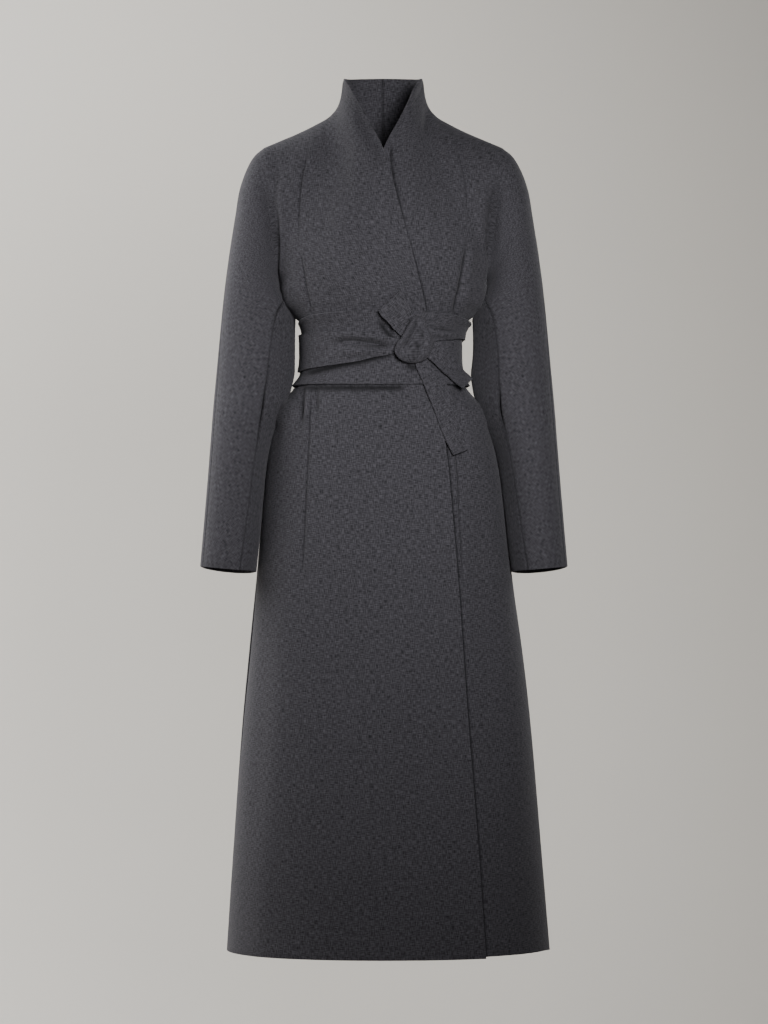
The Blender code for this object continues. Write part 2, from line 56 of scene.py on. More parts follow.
COAT_WALL = 0.0024
HEM_WALL = 0.0036
BELT_WALL = 0.0032
WRAP_LIFT = 0.0038
WRAP_MARGIN = 0.022
WRAP_FADE = 0.040
EDGE_STAND = 0.0013
EDGE_STAND_WIDTH = 0.011
Z_ARM = -0.245
Z_HEM = -1.196
V_POINT_Z = -0.059
V_LIFT_FADE = 0.050
NECK_COLUMN = 0.34
CHEST_RISE = 0.16
HIP_Z = -0.450
CUFF_TURN_Z = -0.610
CUFF_TURN_FADE = 0.012
SLEEVE_BIAS_DEG = 42.0


class Side(Enum):
    """Side of the wearer, as the sign of X."""

    RIGHT = -1.0
    LEFT = 1.0


class Face(Enum):
    """Front or back of the coat."""

    FRONT = "front"
    BACK = "back"


def soft(t: Array) -> Array:
    """Smooth step of an array from 0 to 1.

    Args:
        t: how far along the step, 0 where it starts and 1 where it ends.

    Returns:
        The eased step.
    """
    t = np.clip(t, 0.0, 1.0)
    return t * t * (3.0 - 2.0 * t)


def hill(distance: Array, width: float) -> Array:
    """Round hill of height 1 that has died away at about twice its width.

    Args:
        distance: distances from the hill's middle.
        width: where it has fallen to about a third.

    Returns:
        Its height at each distance.
    """
    return np.exp(-(distance / width) ** 2)


@dataclass(frozen=True)
class Table:
    """Rows of sizes, read along the first column as a soft curve that never overshoots."""

    columns: tuple[str, ...]
    rows: tuple[tuple[float, ...], ...]

    def at(self, column: str, place: Array) -> Array:
        """Read one column.

        Args:
            column: name of the column.
            place: where to read it, in the units of the first column.

        Returns:
            The value at each place, held at the ends.
        """
        rows = sorted(self.rows)
        keys = np.array([row[0] for row in rows])
        values = np.array([row[self.columns.index(column)] for row in rows])
        steps = np.diff(keys)
        grades = np.diff(values) / steps
        slopes = np.empty_like(values)
        slopes[0] = grades[0]
        slopes[-1] = grades[-1]
        product = grades[:-1] * grades[1:]
        total = np.where(product > 0.0, grades[:-1] + grades[1:], 1.0)
        slopes[1:-1] = np.where(product > 0.0, 2.0 * product / total, 0.0)
        place = np.clip(np.asarray(place, dtype=float), keys[0], keys[-1])
        cell = np.clip(np.searchsorted(keys, place, side="right") - 1, 0, len(keys) - 2)
        t = (place - keys[cell]) / steps[cell]
        rise = slopes[cell] * steps[cell]
        fall = slopes[cell + 1] * steps[cell]
        low = (1 + 2 * t) * (1 - t) ** 2 * values[cell] + t * (1 - t) ** 2 * rise
        return low + t * t * (3 - 2 * t) * values[cell + 1] + t * t * (t - 1) * fall

    def numbered(self) -> "Table":
        """Number the rows.

        Returns:
            The same rows with their number as a new first column.
        """
        rows = tuple((float(i),) + row for i, row in enumerate(self.rows))
        return Table(("number",) + self.columns, rows)


BODY = Table(("z", "right", "left", "front", "back", "power"), (
    (-0.245, 0.1470, 0.1470, 0.1175, 0.1130, 2.35),
    (-0.262, 0.1424, 0.1434, 0.1136, 0.1096, 2.32),
    (-0.274, 0.1384, 0.1398, 0.1097, 0.1060, 2.30),
    (-0.284, 0.1332, 0.1348, 0.1056, 0.1022, 2.28),
    (-0.293, 0.1268, 0.1280, 0.1022, 0.0986, 2.26),
    (-0.302, 0.1165, 0.1160, 0.1000, 0.0960, 2.25),
    (-0.315, 0.1118, 0.1090, 0.0980, 0.0938, 2.25),
    (-0.330, 0.1106, 0.1071, 0.0966, 0.0921, 2.25),
    (-0.354, 0.1099, 0.1069, 0.0968, 0.0930, 2.25),
    (-0.376, 0.1130, 0.1095, 0.0990, 0.0985, 2.24),
    (-0.394, 0.1265, 0.1195, 0.1045, 0.1090, 2.22),
    (-0.417, 0.1446, 0.1375, 0.1110, 0.1200, 2.20),
    (-0.441, 0.1540, 0.1490, 0.1160, 0.1270, 2.20),
    (-0.470, 0.1620, 0.1580, 0.1200, 0.1320, 2.20),
    (-0.520, 0.1685, 0.1682, 0.1255, 0.1370, 2.20),
    (-0.669, 0.1805, 0.1850, 0.1380, 0.1480, 2.20),
    (-0.765, 0.1900, 0.1975, 0.1470, 0.1560, 2.20),
    (-0.870, 0.2005, 0.2095, 0.1565, 0.1650, 2.20),
    (-0.975, 0.2088, 0.2195, 0.1665, 0.1750, 2.20),
    (-1.196, 0.2235, 0.2385, 0.1885, 0.1960, 2.20),
))
EDGE = Table(("z", "own_side"), (
    (0.0480, 0.0554), (-0.0060, 0.0270), (-0.0592, 0.0000), (-0.1500, -0.0252),
    (-0.2414, -0.0499), (-0.2846, -0.0596), (-0.3435, -0.0650), (-0.3927, -0.0739),
    (-0.4560, -0.0836), (-0.5060, -0.0900), (-0.5760, -0.0962), (-0.6367, -0.1016),
    (-0.8546, -0.1170), (-1.0412, -0.1316), (-1.1960, -0.1420),
))
MIDDLE_FRONT = Table(("rise", "y", "z"), (
    (0.00, -0.1175, -0.245), (0.08, -0.1200, -0.225), (0.20, -0.1215, -0.195), (0.42, -0.1140, -0.130),
    (0.62, -0.0960, -0.075), (0.80, -0.0730, -0.020), (1.00, -0.0500, 0.045),
))
MIDDLE_BACK = Table(("rise", "y", "z"), (
    (0.00, 0.1130, -0.245), (0.22, 0.1150, -0.180), (0.45, 0.1070, -0.110),
    (0.68, 0.0860, -0.040), (0.82, 0.0680, 0.003), (0.92, 0.0605, 0.030),
    (1.00, 0.0580, 0.054),
))
SHOULDER_SEAM = (
    (0.34, 0.0575, 0.0120, 0.0485), (0.42, 0.0602, 0.0120, 0.0290),
    (0.50, 0.0655, 0.0118, 0.0110), (0.57, 0.0770, 0.0115, -0.0035),
    (0.66, 0.0945, 0.0105, -0.0145), (0.78, 0.1184, 0.0090, -0.0270),
    (0.90, 0.1475, 0.0060, -0.0400), (1.00, 0.1700, 0.0000, -0.0500),
)
TOP_FRONT = Table(("share", "x", "y", "z"), (
    (0.00, 0.0000, -0.0500, 0.0450), (0.12, 0.0300, -0.0430, 0.0462),
    (0.22, 0.0500, -0.0240, 0.0476), (0.27, 0.0552, -0.0100, 0.0482),
) + SHOULDER_SEAM)
TOP_BACK = Table(("share", "x", "y", "z"), (
    (0.00, 0.0000, 0.0580, 0.0540), (0.12, 0.0270, 0.0540, 0.0532),
    (0.23, 0.0470, 0.0375, 0.0512),
) + SHOULDER_SEAM)
SLEEVE = Table(("ring", "out_x", "out_z", "in_x", "in_z", "mid_y", "half_depth",
                "seam_front", "seam_back", "seam_over"), (
    (0, 0.1700, -0.0500, 0.1470, -0.2450, 0.000, 0.0580, 180, 180, 0),
    (1, 0.1840, -0.0620, 0.1468, -0.2466, 0.000, 0.0582, 178, 182, 0),
    (2, 0.1960, -0.0830, 0.1464, -0.2502, 0.001, 0.0590, 171, 189, 0),
    (3, 0.2065, -0.1150, 0.1453, -0.2560, 0.003, 0.0602, 163, 197, 1),
    (4, 0.2115, -0.1470, 0.1434, -0.2640, 0.003, 0.0610, 151, 209, 2),
    (5, 0.2185, -0.1910, 0.1368, -0.2790, 0.002, 0.0612, 142, 221, 5),
    (6, 0.2265, -0.2510, 0.1262, -0.2980, 0.000, 0.0610, 121, 236, 9),
    (7, 0.2320, -0.3050, 0.1257, -0.3320, -0.003, 0.0610, 114, 240, 13),
    (8, 0.2360, -0.3500, 0.1260, -0.3680, -0.008, 0.0610, 110, 239, 17),
    (9, 0.2395, -0.3900, 0.1347, -0.4020, -0.014, 0.0610, 112, 236, 20),
    (10, 0.2425, -0.4250, 0.1528, -0.4350, -0.020, 0.0620, 124, 232, 23),
    (11, 0.2460, -0.4720, 0.1622, -0.4780, -0.024, 0.0620, 128, 228, 25),
    (12, 0.2505, -0.5300, 0.1692, -0.5360, -0.027, 0.0600, 126, 224, 26),
    (13, 0.2555, -0.5900, 0.1742, -0.5960, -0.029, 0.0565, 121, 220, 26),
    (14, 0.2605, -0.6480, 0.1802, -0.6550, -0.031, 0.0530, 117, 215, 26),
))

LEFT_ARM = Table(("ring", "out_x", "in_x"), (
    (0, 0.0, 0.0), (4, 0.0025, 0.0020), (7, 0.0025, 0.0030), (9, 0.0025, -0.0040),
    (10, 0.0025, -0.0056), (11, 0.0025, -0.0025), (12, 0.0025, 0.0), (14, 0.0025, 0.0025),
))


@dataclass(frozen=True)
class CoatForm:
    """Outer face of the worn coat, as the CAD holds it."""

    cuff_back_drop: float = 0.0065

    def section(self, side: Side, z: Array, share: Array, face: Face) -> Array:
        """Points of the form under the arms.

        Args:
            side: side of the wearer that a positive share runs to.
            z: levels.
            share: share of the quarter turn from the middle to the side seam.
            face: front or back.

        Returns:
            Points, with x, y and z along the last axis.
        """
        z, share = np.broadcast_arrays(np.asarray(z, float), np.asarray(share, float))
        turn = np.radians(90.0 * np.abs(share))
        own, other = ("left", "right") if side is Side.LEFT else ("right", "left")
        half = np.where(share >= 0.0, BODY.at(own, z), BODY.at(other, z))
        depth = BODY.at("back", z) if face is Face.BACK else -BODY.at("front", z)
        reach = 2.0 / BODY.at("power", z)
        x = side.value * np.sign(share) * half * np.sin(turn) ** reach
        y = depth * np.clip(np.cos(turn), 0.0, 1.0) ** reach
        return np.stack((x, y, z), axis=-1)

    def ring(self, side: Side, station: Array, turn: Array) -> Array:
        """Points of the sleeve; a turn of 0 is the overarm, 90 the front, 180 the underarm.

        Args:
            side: which sleeve.
            station: number along the sleeve, from the shoulder to the cuff.
            turn: degrees round the sleeve.

        Returns:
            Points, with x, y and z along the last axis.
        """
        station, turn = np.broadcast_arrays(np.asarray(station, float), np.asarray(turn, float))
        names = ("out_x", "out_z", "in_x", "in_z", "mid_y", "half_depth")
        out_x, out_z, in_x, in_z, mid_y, half = (SLEEVE.at(name, station) for name in names)
        angle = np.radians(turn)
        if side is Side.LEFT:
            out_x = out_x + LEFT_ARM.at("out_x", station)
            in_x = in_x + LEFT_ARM.at("in_x", station)
        x = (out_x + in_x) / 2 + np.cos(angle) * (out_x - in_x) / 2
        z = (out_z + in_z) / 2 + np.cos(angle) * (out_z - in_z) / 2
        y = mid_y - half * np.sin(angle)
        drop = self.cuff_back_drop * soft((station - 11.0) / 3.0) * np.clip(-np.sin(angle), 0.0, 1.0)
        return np.stack((side.value * x, y, z - drop), axis=-1)

    def chest_ends(self, a: Array, face: Face) -> tuple[Array, Array, Array, Array]:
        """Ends of the lines up the chest or back, on the wearer's left.

        Args:
            a: shares from the middle to the armhole.
            face: front or back.

        Returns:
            Low points, high points, and the directions left and arrived in.
        """
        low = self.section(Side.LEFT, Z_ARM, a, face)
        leave = (low - self.section(Side.LEFT, Z_ARM - 0.012, a, face)) / 0.012 * CHEST_RISE
        table = TOP_BACK if face is Face.BACK else TOP_FRONT
        high = np.stack([table.at(name, a) for name in ("x", "y", "z")], axis=-1)
        over = soft((a - 0.10) / 0.60)
        back = -0.01 - 0.18 * over
        ahead = 0.02 + 0.17 * over
        way = back if face is Face.BACK else ahead
        arrive = np.stack((-0.02 * (1.0 - over), way, 0.16 * (1.0 - over)), axis=-1)
        return low, high, leave, arrive

    def chest(self, side: Side, share: Array, rise: Array, face: Face) -> Array:
        """Points of the upper body from the underarm level to the shoulder seam.

        Args:
            side: side of the wearer that a positive share runs to.
            share: share from the middle to the armhole.
            rise: 0 at the underarm level, 1 at the top line.
            face: front or back.

        Returns:
            Points, with x, y and z along the last axis.
        """
        share, rise = np.broadcast_arrays(np.asarray(share, float), np.asarray(rise, float))
        a = np.abs(share)
        t = rise[..., None]
        spine = MIDDLE_BACK if face is Face.BACK else MIDDLE_FRONT
        middle = np.stack((np.zeros_like(rise), spine.at("y", rise), spine.at("z", rise)), axis=-1)
        turn = 180.0 * (1.0 - rise)
        armhole = self.ring(Side.LEFT, np.zeros_like(rise), -turn if face is Face.BACK else turn)
        at_middle = between(*self.chest_ends(np.zeros_like(a), face), t)
        at_side = between(*self.chest_ends(np.ones_like(a), face), t)
        blend = soft(a)[..., None]
        point = between(*self.chest_ends(a, face), t)
        pull = soft(a) ** (1.0 + 10.0 * (1.0 - soft(rise / 0.85)))
        point = point + (1.0 - blend) * (middle - at_middle)
        point = point + pull[..., None] * (armhole - at_side)
        point[..., 0] *= side.value * np.where(share < 0.0, -1.0, 1.0)
        return point

    def share_at(self, side: Side, z: Array, own_x: Array) -> Array:
        """Share at which the sections under the arms reach an own-side x.

        Args:
            side: side of the wearer.
            z: levels.
            own_x: distance from the middle, positive on the own side.

        Returns:
            Shares of the quarter turn, negative past the middle.
        """
        own, other = ("left", "right") if side is Side.LEFT else ("right", "left")
        half = np.where(own_x >= 0.0, BODY.at(own, z), BODY.at(other, z))
        ratio = np.clip(np.abs(own_x) / half, 0.0, 1.0) ** (BODY.at("power", z) / 2.0)
        return np.sign(own_x) * np.arcsin(ratio) / (math.pi / 2.0)

    def chest_share_at(self, rise: Array, line: Table, face: Face, limit: float) -> Array:
        """Share at which each line across the chest meets a line drawn in x and z.

        Args:
            rise: levels of the upper body.
            line: table of own-side distance against z.
            face: front or back.
            limit: largest share.

        Returns:
            The shares, one for each rise.
        """
        low = np.full_like(rise, -0.6)
        high = np.full_like(rise, limit)
        for _ in range(36):
            mid = (low + high) / 2
            point = self.chest(Side.LEFT, mid, rise, face)
            short = point[..., 0] < line.at(line.columns[1], point[..., 2])
            low = np.where(short, mid, low)
            high = np.where(short, high, mid)
        return (low + high) / 2

    def waist(self, turn: Array, z: Array) -> tuple[Array, Array]:
        """Points and normals round the waist.

        Args:
            turn: degrees from the middle front to the wearer's left.
            z: levels.

        Returns:
            Points and unit normals.
        """
        along = self._round(turn + 2.5, z) - self._round(turn - 2.5, z)
        up = self._round(turn, z + 0.004) - self._round(turn, z - 0.004)
        up[..., 2] = np.maximum(up[..., 2], 0.008)
        normal = np.cross(along, up)
        return self._round(turn, z), normal / np.linalg.norm(normal, axis=-1, keepdims=True)

    def _round(self, turn: Array, z: Array) -> Array:
        """Find the form's points at turns round the waist.

        Args:
            turn: degrees from the middle front to the wearer's left.
            z: levels.

        Returns:
            Points.
        """
        turn, z = np.broadcast_arrays(np.asarray(turn, float), np.asarray(z, float))
        turn = (turn + 180.0) % 360.0 - 180.0
        size = np.abs(turn)
        share = np.where(size > 90.0, 180.0 - size, size) / 90.0
        left = turn >= 0.0
        front = np.where(left[..., None], self.section(Side.LEFT, z, share, Face.FRONT),
                         self.section(Side.RIGHT, z, share, Face.FRONT))
        back = np.where(left[..., None], self.section(Side.LEFT, z, share, Face.BACK),
                        self.section(Side.RIGHT, z, share, Face.BACK))
        return np.where((size > 90.0)[..., None], back, front)

    def place(self, x: Array, z: Array, height: Array) -> Array:
        """Points over the front that show at an x and z.

        Args:
            x: where the point shows from the front.
            z: its level.
            height: its height above the form, less the lift of the wrap.

        Returns:
            Points.
        """
        x, z, height = np.broadcast_arrays(*(np.asarray(a, float) for a in (x, z, height)))
        low = np.full(x.shape, -90.0)
        high = np.full(x.shape, 90.0)
        point = np.zeros(x.shape + (3,))
        for _ in range(36):
            mid = (low + high) / 2
            point, normal = self.waist(mid, z)
            point = point + normal * (height + belt_lift(point))[..., None]
            short = point[..., 0] < x
            low = np.where(short, mid, low)
            high = np.where(short, high, mid)
        return point


def between(low: Array, high: Array, leave: Array, arrive: Array, t: Array) -> Array:
    """Cubic from low to high points with given end directions.

    Args:
        low: points where it starts.
        high: points where it ends.
        leave: directions in which it leaves the low points.
        arrive: directions in which it reaches the high points.
        t: places along it, from 0 to 1.

    Returns:
        Points.
    """
    start = (1 + 2 * t) * (1 - t) ** 2 * low + t * (1 - t) ** 2 * leave
    return start + t * t * (3 - 2 * t) * high + t * t * (t - 1) * arrive


def wrap_lift(point: Array) -> Array:
    """Height of the top front above the form, where it covers the under front.

    Args:
        point: points of the top front.

    Returns:
        Heights along the normal.
    """
    x, z = point[..., 0], point[..., 2]
    covered = np.maximum(0.0, -EDGE.at("own_side", z))
    beside = 1.0 - soft((-x - covered - WRAP_MARGIN) / WRAP_FADE)
    return WRAP_LIFT * beside * (1.0 - soft((z - V_POINT_Z) / V_LIFT_FADE))


def edge_stand(point: Array) -> Array:
    """Extra height by which the top front's own edge stands off the cloth below.

    Args:
        point: points of the top front.

    Returns:
        Heights along the normal.
    """
    x, z = point[..., 0], point[..., 2]
    gap = np.abs(-EDGE.at("own_side", z) - x)
    return EDGE_STAND * hill(gap, EDGE_STAND_WIDTH) * (1.0 - soft((z - V_POINT_Z) / V_LIFT_FADE))


def belt_lift(point: Array) -> Array:
    """Height of the doubled front under the belt, soft on both sides.

    Args:
        point: points of the waist.

    Returns:
        Heights along the normal.
    """
    x, y, z = point[..., 0], point[..., 1], point[..., 2]
    covered = np.maximum(0.0, -EDGE.at("own_side", z))
    lift = WRAP_LIFT * (1.0 - soft((np.abs(x) - covered - WRAP_MARGIN) / WRAP_FADE))
    return np.where(y > 0.0, 0.0, lift)


def crowd(count: int, pull: float = 0.93) -> Array:
    """Shares from 0 to 1 that crowd towards both ends.

    Args:
        count: number of cells.
        pull: 0 for even cells, towards 1 for ever finer ones at the ends.

    Returns:
        count + 1 shares.
    """
    t = np.linspace(0.0, 1.0, count + 1)
    return (1.0 - pull) * t + pull * 0.5 * (1.0 - np.cos(np.pi * t))


def hex_colour(code: str) -> tuple[float, float, float, float]:
    """Linear colour of an sRGB hex code such as 4a4a4f.

    Args:
        code: six hex digits.

    Returns:
        Linear red, green, blue and an alpha of 1.
    """
    channels = [int(code[i:i + 2], 16) / 255.0 for i in (0, 2, 4)]
    linear = [c / 12.92 if c <= 0.04045 else ((c + 0.055) / 1.055) ** 2.4 for c in channels]
    return (linear[0], linear[1], linear[2], 1.0)


def add_node(tree: bpy.types.NodeTree, kind: str, settings: dict | None = None,
             inputs: dict | None = None) -> bpy.types.Node:
    """Add a node with its settings, input values and links.

    Args:
        tree: node tree of a material or world.
        kind: the node's type name.
        settings: properties to set on the node.
        inputs: socket name or number to a value, or to a socket to link from.

    Returns:
        The new node.
    """
    node = tree.nodes.new(kind)
    for name, value in (settings or {}).items():
        setattr(node, name, value)
    for name, value in (inputs or {}).items():
        if isinstance(value, bpy.types.NodeSocket):
            tree.links.new(value, node.inputs[name])
        else:
            node.inputs[name].default_value = value
    return node


@dataclass(frozen=True)
class WoolSuiting:
    """Charcoal melange wool, plain woven from yarns of mixed dark and pale fibres.

    The yarns are uneven, so the cloth shows short broken streaks along both of
    its threads, a fine pale fibre speckle and almost no gloss. The real thread
    spacing of about 0.7 mm is too fine to show, so the yarns are drawn coarser.
    """

    name: str
    dark: str = "1c1c1f"
    pale: str = "514f55"
    thread_mm: float = 1.0
    slub_mm: float = 7.0
    grain_turn: float = 0.0
    sheen: float = 0.10
    bump_mm: float = 0.30

    def build(self) -> bpy.types.Material:
        """Make the material on the piece's own cloth coordinates, in metres.

        Returns:
            The material.
        """
        material = bpy.data.materials.new(self.name)
        material.use_nodes = True
        tree = material.node_tree
        tree.nodes.clear()
        cloth = add_node(tree, "ShaderNodeUVMap", {"uv_map": "Cloth"})
        thread = 1000.0 / self.thread_mm
        slub = 1000.0 / self.slub_mm
        turn = (0.0, 0.0, self.grain_turn)
        warp_place = add_node(tree, "ShaderNodeMapping", {}, {
            "Vector": cloth.outputs["UV"], "Scale": (thread, slub, 1.0), "Rotation": turn})
        weft_place = add_node(tree, "ShaderNodeMapping", {}, {
            "Vector": cloth.outputs["UV"], "Scale": (slub, thread, 1.0), "Rotation": turn,
            "Location": (17.3, 5.1, 0.0)})
        noise = {"noise_dimensions": "2D"}
        warp = add_node(tree, "ShaderNodeTexNoise", noise, {
            "Vector": warp_place.outputs["Vector"], "Scale": 1.0, "Detail": 0.0})
        weft = add_node(tree, "ShaderNodeTexNoise", noise, {
            "Vector": weft_place.outputs["Vector"], "Scale": 1.0, "Detail": 0.0})
        fibre = add_node(tree, "ShaderNodeTexNoise", noise, {
            "Vector": cloth.outputs["UV"], "Scale": 760.0, "Detail": 3.0, "Roughness": 0.7})
        patch = add_node(tree, "ShaderNodeTexNoise", noise, {
            "Vector": cloth.outputs["UV"], "Scale": 14.0, "Detail": 2.0, "Roughness": 0.5})
        yarns = add_node(tree, "ShaderNodeMath", {"operation": "ADD"}, {
            0: warp.outputs["Fac"], 1: weft.outputs["Fac"]})
        speckled = add_node(tree, "ShaderNodeMath", {"operation": "MULTIPLY_ADD"}, {
            0: fibre.outputs["Fac"], 1: 0.30, 2: yarns.outputs["Value"]})
        mottled = add_node(tree, "ShaderNodeMath", {"operation": "MULTIPLY_ADD"}, {
            0: patch.outputs["Fac"], 1: 0.08, 2: speckled.outputs["Value"]})
        blend = add_node(tree, "ShaderNodeMapRange", {}, {
            "Value": mottled.outputs["Value"], "From Min": 0.58, "From Max": 1.84})
        colour = add_node(tree, "ShaderNodeMix", {"data_type": "RGBA"}, {
            "Factor": blend.outputs["Result"], 6: hex_colour(self.dark), 7: hex_colour(self.pale)})
        # Painted shade: the mesh's painted-shade layer mixes the cloth's colour towards near black
        # (0e0e10) in seams, darts, folds and under overlapping pieces.
        painted_shade = add_node(tree, "ShaderNodeAttribute", {"attribute_name": "painted_shade"})
        shaded = add_node(tree, "ShaderNodeMix", {"data_type": "RGBA"}, {
            "Factor": painted_shade.outputs["Fac"], 6: colour.outputs[2], 7: hex_colour("0e0e10")})
        bump = add_node(tree, "ShaderNodeBump", {}, {
            "Height": speckled.outputs["Value"], "Strength": 0.55,
            "Distance": self.bump_mm / 1000.0})
        shader = add_node(tree, "ShaderNodeBsdfPrincipled", {}, {
            "Base Color": shaded.outputs[2], "Roughness": 0.93, "Specular IOR Level": 0.2,
            "Sheen Weight": self.sheen, "Sheen Roughness": 0.55,
            "Sheen Tint": hex_colour("c9c8cf"), "Normal": bump.outputs["Normal"]})
        add_node(tree, "ShaderNodeOutputMaterial", {}, {"Surface": shader.outputs["BSDF"]})
        return material


@dataclass(frozen=True)
class Fold:
    """A crease or seam drawn as points in x and z, seen from the front or back.

    Depth is along the cloth's normal, negative for a trough; shade is painted shade that darkens the
    colour along the fold's bottom.
    """

    points: tuple[tuple[float, float], ...]
    depth: float
    width: float
    face: Face = Face.FRONT
    fade: float = 0.25
    shade: float = 0.0

    def relief(self, point: Array) -> tuple[Array, Array]:
        """Height of the fold and the painted shade at its bottom, at points of the cloth.

        Args:
            point: points of the cloth, one a row.

        Returns:
            The move along the normal, and the painted shade from 0 to 1, for each point.
        """
        line = np.array(self.points)
        lengths = np.linalg.norm(np.diff(line, axis=0), axis=1)
        starts = np.concatenate(([0.0], np.cumsum(lengths)[:-1]))
        best = np.full(len(point), 1.0e9)
        along = np.zeros(len(point))
        flat = point[:, (0, 2)]
        for start, end, length, begin in zip(line[:-1], line[1:], lengths, starts):
            way = (end - start) / length
            reach = np.clip((flat - start) @ way, 0.0, length)
            gap = np.linalg.norm(flat - start - reach[:, None] * way, axis=1)
            nearer = gap < best
            best = np.where(nearer, gap, best)
            along = np.where(nearer, begin + reach, along)
        share = along / lengths.sum()
        ends = soft(share / self.fade) * soft((1.0 - share) / self.fade) if self.fade else 1.0
        facing = point[:, 1] < 0.0 if self.face is Face.FRONT else point[:, 1] > 0.0
        height = self.depth * hill(best, self.width) * ends * facing
        return height, self.shade * hill(best, 0.6 * self.width) * ends * facing


def dart(table: Table, side: Side, top: float, bottom: float, depth: float, width: float,
         face: Face = Face.FRONT, beside: float = 0.0, fade: float = 0.3,
         shade: float = 0.0) -> Fold:
    """A stitched dart, or the soft ridge beside it, along one of the dart lines.

    Args:
        table: dart line, own-side distance against z.
        side: side of the wearer.
        top: level where it starts.
        bottom: level where it ends.
        depth: move along the normal, negative for the stitched trough.
        width: half width of the groove.
        face: front or back.
        beside: distance from the dart line, away from the middle.
        fade: share of the length over which each end dies away.
        shade: how dark the painted shade at the bottom of the trough is.

    Returns:
        The fold.
    """
    levels = np.linspace(top, bottom, max(10, round((top - bottom) / 0.015)))
    across = side.value * (table.at("own_side", levels) + beside)
    points = tuple((float(x), float(z)) for x, z in zip(across, levels))
    return Fold(points, depth, width, face, fade, shade)


